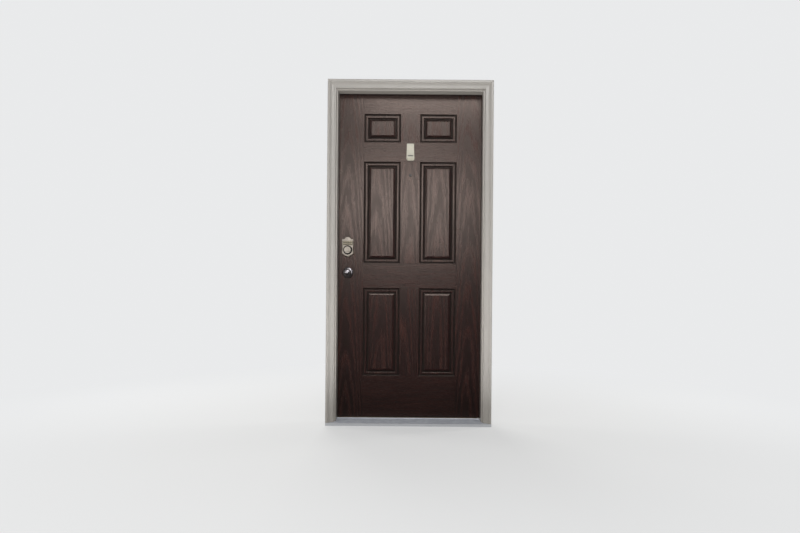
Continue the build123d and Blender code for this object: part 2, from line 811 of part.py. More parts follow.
def knob_section():
    """A round knob on its neck, drawn as radius and height over the door's face."""
    neck_end = (knob_neck_radius, knob_neck_length)
    waist = (knob_neck_radius - 1.3, knob_neck_length + 4)
    collar = (knob_neck_radius + 2, knob_neck_length + 8)
    rim = knob_radius - knob_rim
    rim_height = knob_projection - knob_dome
    rim_start = (rim, rim_height - 2 * knob_rim_half)
    rim_middle = (knob_radius, rim_height - knob_rim_half)
    dome_radius = (rim**2 + knob_dome**2) / (2 * knob_dome)
    edges = [
        Polyline((0, 1), (knob_neck_radius, 1), neck_end),
        ThreePointArc(neck_end, waist, collar),
        Line(collar, rim_start),
        ThreePointArc(rim_start, rim_middle, (rim, rim_height)),
        RadiusArc((rim, rim_height), (0, knob_projection), -dome_radius),
        Line((0, knob_projection), (0, 1)),
    ]
    return make_face(edges)


def spindle_bar(play, start, end):
    """The square bar that joins the knobs, or its socket."""
    half = spindle_side / 2 + play
    return block((lock_x - half, lock_x + half), (start, end), (knob_height - half, knob_height + half))


def through_screws(z, head_y):
    """Two long screws from inside into the posts of the outer fitting."""
    length = head_y - leaf_front - through_screw_end
    places = [(lock_x, head_y, z + s * through_screw_spacing) for s in (-1, 1)]
    return [screw((0, -1, 0), place, length) for place in places]


def posts(z, start):
    """The outer fitting's two screw posts, which reach into the lock's bore."""
    end = leaf_front + post_reach
    heights = (z - through_screw_spacing, z + through_screw_spacing)
    return [rod_y(start, end, lock_x, height, post_radius) for height in heights]


def build_knobs():
    """Roses, knobs, spindle and the screws that clamp the set through the leaf."""
    screws = through_screws(knob_height, jamb_depth + rose_thickness - rose_screw_sink)
    rose = rose_section()
    outer_rose = turned(rose, lock_x, knob_height, leaf_front, -1)
    outer_rose = outer_rose + posts(knob_height, leaf_front - rose_thickness + rose_wall / 2)
    parts["outer_rose"] = outer_rose - screws
    parts["inner_rose"] = turned(rose, lock_x, knob_height, jamb_depth, 1) - screws
    knob = knob_section()
    bar = spindle_bar(0, leaf_front - 5, jamb_depth + socket_depth)
    parts["outer_knob"] = turned(knob, lock_x, knob_height, leaf_front, -1) + bar
    socket = spindle_bar(socket_clearance, jamb_depth, jamb_depth + socket_depth + 1)
    parts["inner_knob"] = turned(knob, lock_x, knob_height, jamb_depth, 1) - socket
    return screws


def crown_outline():
    """The keypad body's outline round the turn's centre: a stepped crown above, a shallow point below."""
    shoulder = keypad_half_width
    low = keypad_flare_height
    corner = (keypad_flare - 2.4, low - 4.6)
    edges = [
        ThreePointArc((0, keypad_top), (8, keypad_top - 1.6), (14, keypad_top - 6.5)),
        ThreePointArc((14, keypad_top - 6.5), (19.5, keypad_top - 11.8), (26, keypad_top - 13.8)),
        ThreePointArc((26, keypad_top - 13.8), (32.5, keypad_top - 14.8), (shoulder, keypad_top - 20)),
        Line((shoulder, keypad_top - 20), (keypad_waist, 18)),
        ThreePointArc((keypad_waist, 18), (keypad_waist - 0.1, -2), (keypad_flare, low)),
        ThreePointArc((keypad_flare, low), (keypad_flare - 0.4, low - 2.8), corner),
        Line(corner, (9, keypad_bottom + 2.5)),
        ThreePointArc((9, keypad_bottom + 2.5), (4.8, keypad_bottom + 0.6), (0, keypad_bottom)),
        Line((0, keypad_bottom), (0, keypad_top)),
    ]
    half = make_face(edges)
    return half + mirror(half, about=Plane.YZ)


def key_places():
    """The middles of the keypad's keys, row by row, counted from the turn's centre."""
    places = []
    for row in range(key_rows):
        for column in range(key_columns):
            x = (column - (key_columns - 1) / 2) * key_pitch_x
            z = key_middle_height + ((key_rows - 1) / 2 - row) * key_pitch_z
            places.append((x, z))
    return places


def key_cell(x, z, play):
    """A key's rounded square outline, or the hole that it runs in."""
    return Pos(x, z) * RectangleRounded(key_side + 2 * play, key_side + 2 * play, key_corner + play)


def build_keypad():
    """The keypad lock's body outside: crown outline, sunk key field, ring recess, posts and keys."""
    centre = Pos(lock_x, deadbolt_height)
    front = leaf_front - keypad_depth
    outline = crown_outline()
    body = prism_y(centre * outline, front + keypad_edge, leaf_front)
    rim = prism_y(centre * offset(outline, -keypad_edge / 2), front + keypad_edge / 2, front + keypad_edge)
    face = prism_y(centre * offset(outline, -keypad_edge), front, front + keypad_edge / 2)
    body = body + rim + face + posts(deadbolt_height, leaf_front - 1)
    field_middle = turn_ring_radius + keypad_border + keypad_top / 2
    upper = Pos(0, field_middle) * Rectangle(2 * keypad_flare, keypad_top)
    field = offset(outline, -keypad_edge - keypad_border) & upper
    body = body - prism_y(centre * field, front - 1, front + keypad_recess)
    key_front = front + keypad_recess - key_proud
    hole_end = key_front + key_length + key_travel + key_play
    for number, (x, z) in enumerate(key_places(), start=1):
        hole = prism_y(centre * key_cell(x, z, key_play), front - 1, hole_end)
        body = body - hole
        key = prism_y(centre * key_cell(x, z, 0), key_front, key_front + key_length)
        key = chamfer(key.faces().sort_by(Axis.Y)[0].edges(), key_edge)
        parts["key_" + str(number)] = key
    ring = rod_y(front - 1, front + turn_ring_depth, lock_x, deadbolt_height, turn_ring_radius)
    shaft = rod_y(front, front + turn_shaft_length, lock_x, deadbolt_height, turn_shaft_radius + pin_play)
    hub = rod_y(front, leaf_front + 1, lock_x, deadbolt_height, hub_radius)
    lamp_end = front + keypad_recess + lamp_depth
    lamp = rod_y(front, lamp_end, lock_x, deadbolt_height + lamp_height, lamp_radius)
    screws = through_screws(deadbolt_height, jamb_depth + mounting_plate)
    parts["keypad_body"] = body - ring - shaft - hub - lamp - screws
    return screws


def blade_bar(play, start, end):
    """The flat blade that joins the deadbolt's two turns, or its socket."""
    half_w = blade_thickness / 2 + play
    half_h = blade_width / 2 + play
    height = (deadbolt_height - half_h, deadbolt_height + half_h)
    return block((lock_x - half_w, lock_x + half_w), (start, end), height)


def build_outer_turn():
    """The round outer turn with two finger scallops that leave a level grip bar, and its keyhole."""
    front = leaf_front - keypad_depth
    face = front - turn_projection
    turn = rod_y(face, front + turn_ring_depth - knuckle_clearance, lock_x, deadbolt_height, turn_radius)
    turn = fillet(turn.faces().sort_by(Axis.Y)[0].edges(), turn_edge)
    centre_y = face + turn_scallop_depth - turn_scallop_radius
    reach = (turn_scallop_radius**2 - (face - centre_y) ** 2) ** 0.5
    for side in (-1, 1):
        z = deadbolt_height + side * (turn_bar_half + reach)
        turn = turn - rod_x(lock_x - turn_radius, lock_x + turn_radius, centre_y, z, turn_scallop_radius)
    keyhole = block(
        (lock_x - keyhole_width / 2, lock_x + keyhole_width / 2),
        (face - 1, face + keyhole_depth),
        (deadbolt_height - keyhole_height / 2, deadbolt_height + keyhole_height / 2),
    )
    shaft = rod_y(front, front + turn_shaft_length - 1, lock_x, deadbolt_height, turn_shaft_radius)
    cover_face = jamb_depth + cover_depth
    parts["outer_turn"] = turn - keyhole + shaft + blade_bar(0, front, cover_face)


def build_inner_lock():
    """The mounting plate, battery cover and turn on the inside."""
    centre = Pos(lock_x, deadbolt_height + (cover_top + cover_bottom) / 2)
    height = cover_top - cover_bottom
    outer = RectangleRounded(cover_width, height, cover_radius)
    hollow_width = cover_width - 2 * cover_wall
    hollow = RectangleRounded(hollow_width, height - 2 * cover_wall, cover_radius - cover_wall)
    cover_face = jamb_depth + cover_depth
    shell = prism_y(centre * outer, jamb_depth, cover_face)
    shell = fillet(shell.faces().sort_by(Axis.Y)[-1].edges(), cover_edge)
    shell = shell - prism_y(centre * hollow, jamb_depth - 1, cover_face - cover_wall)
    shaft_hole = rod_y(
        cover_face - cover_wall - 1, cover_face + 1, lock_x, deadbolt_height, inner_shaft_radius + pin_play
    )
    parts["battery_cover"] = shell - shaft_hole
    plate_section = offset(hollow, -bolt_play)
    plate_back = jamb_depth + mounting_plate
    plate = prism_y(centre * plate_section, jamb_depth, plate_back)
    hub = rod_y(jamb_depth - 1, plate_back + 1, lock_x, deadbolt_height, inner_shaft_radius)
    parts["mounting_plate"] = plate - hub - through_screws(deadbolt_height, plate_back)
    shaft_end = cover_face - cover_wall - inner_shaft_length
    shaft = rod_y(shaft_end, cover_face + 1, lock_x, deadbolt_height, inner_shaft_radius)
    base_low = cover_face + knuckle_clearance
    base_high = base_low + inner_turn_base
    base = rod_y(base_low, base_high, lock_x, deadbolt_height, inner_turn_base_radius)
    grip = Rot(0, 0, 90) * SlotOverall(inner_turn_length, inner_turn_width)
    grip = prism_y(Pos(lock_x, deadbolt_height) * grip, base_high, base_high + inner_turn_depth)
    grip = chamfer(grip.faces().sort_by(Axis.Y)[-1].edges(), inner_turn_edge)
    socket = blade_bar(socket_clearance, shaft_end - 1, cover_face + 1)
    parts["inner_turn"] = shaft + base + grip - socket


def build_viewer():
    """The door viewer: a barrel with its lens outside and a sleeve screwed in from inside."""
    radius = viewer_barrel_radius
    bore = radius - viewer_wall
    sleeve = bore - bolt_play
    length = viewer_barrel_length
    round_start = (viewer_flange_radius - 1.5, viewer_flange)
    barrel = [
        Polyline((0, viewer_flange), (bore, viewer_flange), round_start),
        RadiusArc(round_start, (viewer_flange_radius, viewer_flange - 1.5), 1.5),
        Polyline(
            (viewer_flange_radius, viewer_flange - 1.5),
            (viewer_flange_radius, 0),
            (radius, 0),
            (radius, -length),
            (bore, -length),
            (bore, 0),
            (0, 0),
            (0, viewer_flange),
        ),
    ]
    parts["viewer_barrel"] = turned(make_face(barrel), 0, viewer_height, leaf_front, -1)
    overlap = leaf_thickness - length + viewer_overlap
    inner = Polyline(
        (sleeve - viewer_wall, viewer_flange),
        (viewer_flange_radius, viewer_flange),
        (viewer_flange_radius, 0),
        (sleeve, 0),
        (sleeve, -overlap),
        (sleeve - viewer_wall, -overlap),
        close=True,
    )
    parts["viewer_sleeve"] = turned(make_face(inner), 0, viewer_height, jamb_depth, 1)


def build_hook():
    """The stuck-on hook: a tapered plate with a slot and a seam, a floor and an upturned lip."""
    top = hook_bottom + hook_height
    corners = [
        (-hook_width / 2, hook_bottom),
        (hook_width / 2, hook_bottom),
        (hook_top_width / 2, top),
        (-hook_top_width / 2, top),
    ]
    outline = make_face(Polyline(*corners, close=True))
    outline = fillet(outline.vertices().group_by(Axis.Y)[0], hook_corner)
    outline = fillet(outline.vertices().group_by(Axis.Y)[-1], hook_top_corner)
    plate = prism_y(outline, leaf_front - hook_plate, leaf_front)
    plate = chamfer(plate.faces().sort_by(Axis.Y)[0].edges(), hook_edge)
    face = leaf_front - hook_plate
    slot_low = hook_bottom + hook_slot_low
    slot_x = (-hook_lip_width / 2, hook_lip_width / 2)
    seam_z = hook_bottom + hook_seam_height
    slot_z = (slot_low, slot_low + hook_slot_height)
    plate = plate - block(slot_x, (face - 1, face + hook_slot_depth), slot_z)
    seam_y = (face - 1, face + hook_seam)
    plate = plate - block((-hook_width, hook_width), seam_y, (seam_z, seam_z + hook_seam))
    inner_y = -hook_plate
    lip_y = inner_y - hook_gap
    bend_z = hook_floor + hook_gap / 2
    profile = [
        Polyline((inner_y + 1, 0), (inner_y + 1, bend_z), (inner_y, bend_z)),
        ThreePointArc(
            (inner_y, bend_z),
            (inner_y - hook_gap / 2, hook_floor),
            (lip_y, bend_z),
        ),
        Polyline((lip_y, bend_z), (lip_y, hook_lip), (lip_y - hook_wall, hook_lip)),
        Line((lip_y - hook_wall, hook_lip), (lip_y - hook_wall, bend_z)),
        ThreePointArc(
            (lip_y - hook_wall, bend_z),
            (inner_y - hook_gap / 2 - 2, 0.6),
            (inner_y + 1, 0),
        ),
    ]
    section = Pos(leaf_front, hook_bottom + hook_lip_low) * make_face(profile)
    lip = prism_x(section, -hook_lip_width / 2, hook_lip_width / 2)
    parts["wreath_hook"] = plate + lip


def build_all():
    """Every node of the door and its frame."""
    leaf_screws, jamb_screws, leaf_cuts, jamb_cuts = build_hinges()
    build_leaf(leaf_cuts)
    build_sweep()
    cap_screws = build_sill()
    strike_fastenings, strike_cuts = build_strikes()
    corner_screws = corner_fastenings()
    build_jambs(jamb_cuts, strike_cuts, corner_screws)
    parts["sill_base"] = parts["sill_base"] - corner_screws
    build_casing()
    build_seals()
    build_bolts()
    long_screws = build_knobs()
    long_screws += build_keypad()
    build_outer_turn()
    build_inner_lock()
    build_viewer()
    build_hook()
    parts["frame_screws"] = group(jamb_screws + strike_fastenings + corner_screws + cap_screws)
    parts["leaf_screws"] = group(leaf_screws + face_screws(knob_height) + face_screws(deadbolt_height))
    parts["through_screws"] = group(long_screws)


build_all()
os.makedirs("parts", exist_ok=True)
for name, solid in parts.items():
    export_step(solid, "parts/" + name + ".step")
print(len(parts), "nodes")
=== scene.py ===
import math
import bpy
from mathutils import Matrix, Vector


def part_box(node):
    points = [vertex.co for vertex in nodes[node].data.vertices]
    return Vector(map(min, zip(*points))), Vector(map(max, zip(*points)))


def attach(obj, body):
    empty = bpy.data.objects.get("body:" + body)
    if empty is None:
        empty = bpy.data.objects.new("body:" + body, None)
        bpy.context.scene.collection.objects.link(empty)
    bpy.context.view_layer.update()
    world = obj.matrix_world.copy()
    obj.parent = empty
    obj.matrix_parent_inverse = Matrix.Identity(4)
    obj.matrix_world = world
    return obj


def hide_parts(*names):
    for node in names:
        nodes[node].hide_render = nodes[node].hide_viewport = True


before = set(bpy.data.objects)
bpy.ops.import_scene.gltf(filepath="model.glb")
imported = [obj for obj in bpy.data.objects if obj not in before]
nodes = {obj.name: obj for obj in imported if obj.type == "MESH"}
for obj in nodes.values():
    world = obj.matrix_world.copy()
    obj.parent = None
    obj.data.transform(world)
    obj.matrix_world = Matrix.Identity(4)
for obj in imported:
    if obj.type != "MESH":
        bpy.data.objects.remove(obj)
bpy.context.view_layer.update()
keyNames = ["key_" + str(number) for number in range(1, 11)]
mm = 0.001
print("frame loaded:", len(nodes), "nodes")


# Small helpers

def linearColour(hexText):
    # sRGB hex to the linear values that a socket holds
    shades = [int(hexText[i:i + 2], 16) / 255 for i in (1, 3, 5)]
    return [s / 12.92 if s <= 0.04045 else ((s + 0.055) / 1.055) ** 2.4 for s in shades] + [1.0]


def addNode(tree, kind, inputs=None, stops=None, **settings):
    # one node with its settings, fixed values and links; stops are a ramp's places and colours
    node = tree.nodes.new(kind)
    for name, value in settings.items():
        setattr(node, name, value)
    for key, value in (inputs or {}).items():
        if isinstance(value, bpy.types.NodeSocket):
            tree.links.new(value, node.inputs[key])
        else:
            node.inputs[key].default_value = value
    for index, (place, colour) in enumerate(stops or []):
        ramp = node.color_ramp.elements
        stop = ramp[index] if index < 2 else ramp.new(place)
        stop.position = place
        stop.color = linearColour(colour)
    return node


def startMaterial(name):
    # a new material, its node tree and shader, and the place on the piece
    material = bpy.data.materials.new(name)
    material.use_nodes = True
    tree = material.node_tree
    place = addNode(tree, "ShaderNodeTexCoord").outputs["Object"]
    return material, tree, tree.nodes["Principled BSDF"], place


def streakNoise(tree, place, width, length, lengthwise, detail):
    # noise whose streaks have this width and this length along one axis, both in metres
    perMetre = [1 / width] * 3
    perMetre["XYZ".index(lengthwise)] = 1 / length
    scaled = addNode(tree, "ShaderNodeVectorMath", {0: place, 1: perMetre}, operation="MULTIPLY").outputs[0]
    return addNode(tree, "ShaderNodeTexNoise", {"Vector": scaled, "Scale": 1.0, "Detail": detail}).outputs[0]


def varyRoughness(tree, shader, pattern, low, high):
    rough = addNode(tree, "ShaderNodeMapRange", {"Value": pattern, "To Min": low, "To Max": high}).outputs[0]
    tree.links.new(rough, shader.inputs["Roughness"])


def addRelief(tree, shader, height, strength, depth, edgeRadius=None):
    # a pattern as fine relief, over edges that look rounded where a radius is given
    relief = {"Strength": strength, "Distance": depth, "Height": height}
    if edgeRadius is not None:
        relief["Normal"] = addNode(tree, "ShaderNodeBevel", {"Radius": edgeRadius}, samples=4).outputs[0]
    bump = addNode(tree, "ShaderNodeBump", relief).outputs[0]
    tree.links.new(bump, shader.inputs["Normal"])


def dress(nodeNames, material):
    for name in nodeNames:
        slots = nodes[name].data.materials
        slots.clear()
        slots.append(material)


def deselectAll():
    if bpy.context.object and bpy.context.object.mode != "OBJECT":
        bpy.ops.object.mode_set(mode="OBJECT")
    bpy.ops.object.select_all(action="DESELECT")


def makeActive(piece):
    deselectAll()
    piece.select_set(True)
    bpy.context.view_layer.objects.active = piece


def bakePlace():
    bpy.ops.object.transform_apply(location=True, rotation=True, scale=True)


def joinPieces(pieces, name):
    # the pieces become one object, which is left active
    makeActive(pieces[0])
    for piece in pieces[1:]:
        piece.select_set(True)
    bpy.ops.object.join()
    whole = bpy.context.object
    whole.name = name
    whole.data.name = name
    return whole


def cutWith(piece, cutter):
    # takes the cutter's volume out of the piece and deletes the cutter
    makeActive(piece)
    bpy.ops.object.modifier_add(type="BOOLEAN")
    cut = piece.modifiers[-1]
    cut.operation = "DIFFERENCE"
    cut.solver = "EXACT"
    cut.object = cutter
    bpy.ops.object.modifier_apply(modifier=cut.name)
    makeActive(cutter)
    bpy.ops.object.delete()
    makeActive(piece)


def turnOutwards():
    bpy.ops.object.mode_set(mode="EDIT")
    bpy.ops.mesh.select_all(action="SELECT")
    bpy.ops.mesh.normals_make_consistent(inside=False)
    bpy.ops.object.mode_set(mode="OBJECT")


def boxMiddle(name):
    low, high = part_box(name)
    return [(a + b) / 2 for a, b in zip(low, high)]


# Camera, from the vanishing point and the leaf's width in the picture

view = {
    "pictureWidth": 800,
    "pictureHeight": 533,
    "vanishingPoint": (413.0, 294.0),   # where lines into the house meet, in pixels
    "leafMiddle": 409.3,                # the leaf's middle line at that height, in pixels
    "pixelsPerMetre": 160.5,            # on the leaf's face
    "leafFace": 0.0715,
    "distance": 3.6,                    # from the lens to the leaf's face
    "eyeHeight": 0.801,
    "lean": 0.46,                       # the picture's top leans to the right, in degrees
    "sensor": 36.0,
    "nearest": 0.05,                    # nothing closer to the lens is drawn
}


def placeCamera():
    bpy.ops.object.camera_add()
    camera = bpy.context.object
    vanishX, vanishY = view["vanishingPoint"]
    camera.location = (
        (vanishX - view["leafMiddle"]) / view["pixelsPerMetre"],
        view["leafFace"] - view["distance"],
        view["eyeHeight"],
    )
    camera.rotation_euler = (math.radians(90), math.radians(-view["lean"]), 0)
    camera.data.sensor_width = view["sensor"]
    camera.data.lens = view["sensor"] * view["pixelsPerMetre"] * view["distance"] / view["pictureWidth"]
    camera.data.shift_x = (view["pictureWidth"] / 2 - vanishX) / view["pictureWidth"]
    camera.data.shift_y = (vanishY - view["pictureHeight"] / 2) / view["pictureWidth"]
    camera.data.clip_start = view["nearest"]
    bpy.context.scene.camera = camera


placeCamera()
bpy.context.scene.view_settings.view_transform = "Standard"
print("camera placed")


# Floor, sky and lamps

studio = {
    "floorSize": 60.0,
    "floorDrop": 0.5 * mm,          # below the sill
    "floorColour": "#e4e3e0",
    "floorMirrored": "#423d37",     # what glossy surfaces see of the floor
    "floorRoughness": 0.9,
    "floorNear": 0.5,               # metres from the door where the floor starts to fade into the backdrop
    "floorFar": 3.2,
    "floorGlow": 0.5,               # share of the backdrop that the camera sees in the floor by the door
    "skyColour": "#f2f3f4",
    "skyLight": 0.40,               # what the sky gives to the object
    "skySeen": 0.92,                # what the camera sees
    "skyMirrored": 0.20,            # what glossy surfaces see
    # place, aimed at, width and height in metres, watts, lights matte surfaces, shows in glossy ones
    "lamps": [
        ("keyLamp", (-0.1, -4.7, 2.55), (0, 0, 1.55), 2.4, 1.3, 85, True, False),
        ("sheenLamp", (-0.15, -4.7, 2.1), (0, 0, 1.3), 2.2, 1.2, 53, False, True),
        ("lowLamp", (0.0, -4.4, 0.25), (0, 0, 1.4), 2.6, 0.5, 24, True, False),
        ("bounceLamp", (0.0, -0.8, 0.12), (0, -0.8, 2.2), 1.2, 0.5, 16, True, False),
        ("sideLamp", (-3.4, -3.2, 1.4), (0, 0, 1.0), 0.8, 1.6, 24, True, True),
        ("topLamp", (0.4, -1.6, 2.85), (-0.2, 0, 0.9), 2.0, 0.7, 36, False, True),
        ("rightFillLamp", (3.4, 1.2, 1.5), (0.5, 0.05, 1.0), 0.8, 1.8, 42, True, False),
        ("leftFillLamp", (-3.4, 1.2, 1.5), (-0.5, 0.05, 1.0), 0.8, 1.8, 42, True, False),
        ("backLamp", (-1.6, 5.0, 3.0), (0, 0, 1.2), 3.0, 2.0, 160, True, True),
    ],
}


def paleFloor():
    # Even pale floor that fades into the backdrop for the camera and stays dim in glossy surfaces
    material, tree, shader, place = startMaterial("paleStudioFloor")
    rays = addNode(tree, "ShaderNodeLightPath").outputs
    colour = addNode(tree, "ShaderNodeMix",
                     {0: rays["Is Glossy Ray"], 6: linearColour(studio["floorColour"]),
                      7: linearColour(studio["floorMirrored"])}, data_type="RGBA").outputs[2]
    tree.links.new(colour, shader.inputs["Base Color"])
    shader.inputs["Roughness"].default_value = studio["floorRoughness"]
    away = addNode(tree, "ShaderNodeVectorMath", {0: place}, operation="LENGTH").outputs["Value"]
    fade = addNode(tree, "ShaderNodeMapRange",
                   {"Value": away, "From Min": studio["floorNear"], "From Max": studio["floorFar"],
                    "To Min": studio["floorGlow"]}, interpolation_type="SMOOTHSTEP").outputs[0]
    seen = addNode(tree, "ShaderNodeMath", {0: fade, 1: rays["Is Camera Ray"]},
                   operation="MULTIPLY").outputs[0]
    backdrop = addNode(tree, "ShaderNodeEmission",
                       {"Color": linearColour(studio["skyColour"]), "Strength": studio["skySeen"]}).outputs[0]
    mixed = addNode(tree, "ShaderNodeMixShader", {0: seen, 1: shader.outputs[0], 2: backdrop}).outputs[0]
    tree.links.new(mixed, tree.nodes["Material Output"].inputs["Surface"])
    return material


def buildStudio():
    bpy.ops.mesh.primitive_plane_add(size=studio["floorSize"], location=(0, 0, -studio["floorDrop"]))
    floor = bpy.context.object
    floor.name = "studioFloor"
    floor.data.materials.append(paleFloor())
    for name, place, aim, width, height, watts, onMatte, mirrored in studio["lamps"]:
        bpy.ops.object.light_add(type="AREA", location=place)
        lamp = bpy.context.object
        lamp.name = name
        lamp.data.shape = "RECTANGLE"
        lamp.data.size = width
        lamp.data.size_y = height
        lamp.data.energy = watts
        lamp.visible_diffuse = onMatte
        lamp.visible_glossy = mirrored
        lamp.visible_camera = False
        lamp.rotation_euler = (lamp.location - Vector(aim)).to_track_quat("Z", "Y").to_euler()
    world = bpy.data.worlds.new("paleSky")
    world.use_nodes = True
    tree = world.node_tree
    tree.nodes.clear()
    rays = addNode(tree, "ShaderNodeLightPath").outputs
    mirrored = addNode(tree, "ShaderNodeMath",
                       {0: rays["Is Glossy Ray"], 1: rays["Is Transmission Ray"]},
                       operation="MAXIMUM").outputs[0]
    unseen = addNode(tree, "ShaderNodeMapRange",
                     {"Value": mirrored, "To Min": studio["skyLight"],
                      "To Max": studio["skyMirrored"]}).outputs[0]
    strength = addNode(tree, "ShaderNodeMix",
                       {0: rays["Is Camera Ray"], 2: unseen, 3: studio["skySeen"]},
                       data_type="FLOAT").outputs[0]
    sky = addNode(tree, "ShaderNodeBackground",
                  {"Color": linearColour(studio["skyColour"]), "Strength": strength}).outputs[0]
    addNode(tree, "ShaderNodeOutputWorld", {"Surface": sky})
    bpy.context.scene.world = world


buildStudio()
print("studio built")


# Leaf: skins and edges

stain = {
    "mullionEdge": 59.5 * mm,           # faces of mullion and stiles, from the middle line
    "stileEdge": 288.5 * mm,
    "rowEdges": [290 * mm, 837 * mm, 991 * mm, 1624 * mm, 1744 * mm, 1921 * mm],   # rails against panels
    "outerFace": 71.5 * mm,
    "innerFace": 116 * mm,
    "joint": 0.6 * mm,                  # half the width of the lines where boards butt
    "columnPitch": 180 * mm,            # from one column of boards to the next
    "rowStep": 7.3,                     # rows and columns times their steps number the boards
    "columnStep": 1.7,
    "shiftSpan": (0.07, 0.04, 2.6),     # how far a board's number can shift its grain, in metres
    "shiftStart": (-0.035, 0.012, 0.0),
    "railShift": 310 * mm,              # of the rails' grain, across them
    "ringGap": 8 * mm,                  # between growth rings on a flat-sawn face
    "ringStretch": 0.040,               # how slowly the rings close along the board
    "ringWander": 8 * mm,               # to either side
    "bendsPerMetre": (14.0, 6.0, 2.2),  # in the rings
    "poreWidth": 2.3 * mm,              # drawn wider than real pores, so that they show at this distance
    "poreLength": 34 * mm,
    "poreNoise": (0.52, 0.64),          # noise at which a pore starts and is full
    "streakWidth": 4.5 * mm,
    "streakLength": 190 * mm,
    "streakShare": 0.65,                # of fine streaks, against broad clouds
    "cloudsPerMetre": (22.0, 9.0, 3.0),
    "ringWeight": 0.32,
    "poreWeight": -0.30,
    "jointWeight": -0.5,
    "tones": [(0.34, "#0d0505"), (0.60, "#1a0b0c"), (0.92, "#341e1a")],
    "quirkWidth": 12.3 * mm,            # the groove round the bead gets painted shade from wall to wall
    "quirkExtra": 4.8 * mm,
    "shadeDepths": (5.0 * mm, 6.8 * mm),     # below the face, where the painted shade starts and is full
    # painted shade in the grooves: its share, its near-black colour and the roughness there
    "shadeShare": 0.92,
    "paintedGrooveShade": "#050202",
    "shadedGrooveRoughness": 0.75,
    "sheenTones": (0.35, 0.85),         # the coat is smoother where the stain is thin
    "roughness": (0.34, 0.23),
    "varnish": "#ffebdf",               # tint of the coat's sheen
    "relief": (0.5, 0.35 * mm),
}


def boardLayout(tree, axes, aside):
    # boards as the press mould has them: each point's place in its board's grain, and the fine lines
    # where boards butt
    side = addNode(tree, "ShaderNodeMath", {0: axes["X"]}, operation="SIGN").outputs[0]
    pastMullion = addNode(tree, "ShaderNodeMath", {0: aside, 1: stain["mullionEdge"]},
                          operation="GREATER_THAN").outputs[0]
    onStile = addNode(tree, "ShaderNodeMath", {0: aside, 1: stain["stileEdge"]},
                      operation="GREATER_THAN").outputs[0]
    step = addNode(tree, "ShaderNodeMath", {0: pastMullion, 1: onStile}, operation="ADD").outputs[0]
    column = addNode(tree, "ShaderNodeMath", {0: step, 1: side}, operation="MULTIPLY").outputs[0]
    row = 0.0
    joints = 0.0
    for edge in stain["rowEdges"]:
        above = addNode(tree, "ShaderNodeMath", {0: axes["Z"], 1: edge}, operation="GREATER_THAN").outputs[0]
        row = addNode(tree, "ShaderNodeMath", {0: row, 1: above}, operation="ADD").outputs[0]
        line = addNode(tree, "ShaderNodeMath", {0: axes["Z"], 1: edge, 2: stain["joint"]},
                       operation="COMPARE").outputs[0]
        joints = addNode(tree, "ShaderNodeMath", {0: joints, 1: line}, operation="ADD").outputs[0]
    panelRow = addNode(tree, "ShaderNodeMath", {0: row, 1: 2.0}, operation="MODULO").outputs[0]
    railRow, notStile, onMullion = [
        addNode(tree, "ShaderNodeMath", {0: 1.0, 1: share}, operation="SUBTRACT").outputs[0]
        for share in (panelRow, onStile, pastMullion)]
    level = addNode(tree, "ShaderNodeMath", {0: railRow, 1: notStile}, operation="MULTIPLY").outputs[0]

    # mullions and rails butt on the row edges, rails butt the stiles
    mullionJoint = addNode(tree, "ShaderNodeMath", {0: joints, 1: onMullion}, operation="MULTIPLY").outputs[0]
    stileLine = addNode(tree, "ShaderNodeMath", {0: aside, 1: stain["stileEdge"], 2: stain["joint"]},
                        operation="COMPARE").outputs[0]
    stileJoint = addNode(tree, "ShaderNodeMath", {0: stileLine, 1: railRow}, operation="MULTIPLY").outputs[0]
    joint = addNode(tree, "ShaderNodeMath", {0: mullionJoint, 1: stileJoint}, operation="MAXIMUM").outputs[0]

    # every board has its own number, which shifts the grain
    rowShare = addNode(tree, "ShaderNodeMath", {0: row, 1: notStile}, operation="MULTIPLY").outputs[0]
    rowNumber = addNode(tree, "ShaderNodeMath", {0: rowShare, 1: stain["rowStep"]},
                        operation="MULTIPLY").outputs[0]
    columnFree = addNode(tree, "ShaderNodeMath", {0: 1.0, 1: level}, operation="SUBTRACT").outputs[0]
    columnShare = addNode(tree, "ShaderNodeMath", {0: column, 1: columnFree}, operation="MULTIPLY").outputs[0]
    number = addNode(tree, "ShaderNodeMath", {0: columnShare, 1: stain["columnStep"], 2: rowNumber},
                     operation="MULTIPLY_ADD").outputs[0]
    chance = addNode(tree, "ShaderNodeTexWhiteNoise", {"W": number}, noise_dimensions="1D").outputs["Color"]
    shift = addNode(tree, "ShaderNodeVectorMath", {0: chance, 1: stain["shiftSpan"], 2: stain["shiftStart"]},
                    operation="MULTIPLY_ADD").outputs[0]

    # the grain runs up stiles, mullions and panels and along the rails
    columnMiddle = addNode(tree, "ShaderNodeMath", {0: column, 1: -stain["columnPitch"], 2: axes["X"]},
                           operation="MULTIPLY_ADD").outputs[0]
    upright = addNode(tree, "ShaderNodeCombineXYZ", {0: columnMiddle, 1: axes["Y"], 2: axes["Z"]}).outputs[0]
    railAcross = addNode(tree, "ShaderNodeMath", {0: axes["Z"], 1: stain["railShift"]},
                         operation="ADD").outputs[0]
    lying = addNode(tree, "ShaderNodeCombineXYZ", {0: railAcross, 1: axes["Y"], 2: axes["X"]}).outputs[0]
    board = addNode(tree, "ShaderNodeMix", {0: level, 4: upright, 5: lying}, data_type="VECTOR").outputs[1]
    grain = addNode(tree, "ShaderNodeVectorMath", {0: board, 1: shift}, operation="ADD").outputs[0]
    return grain, joint


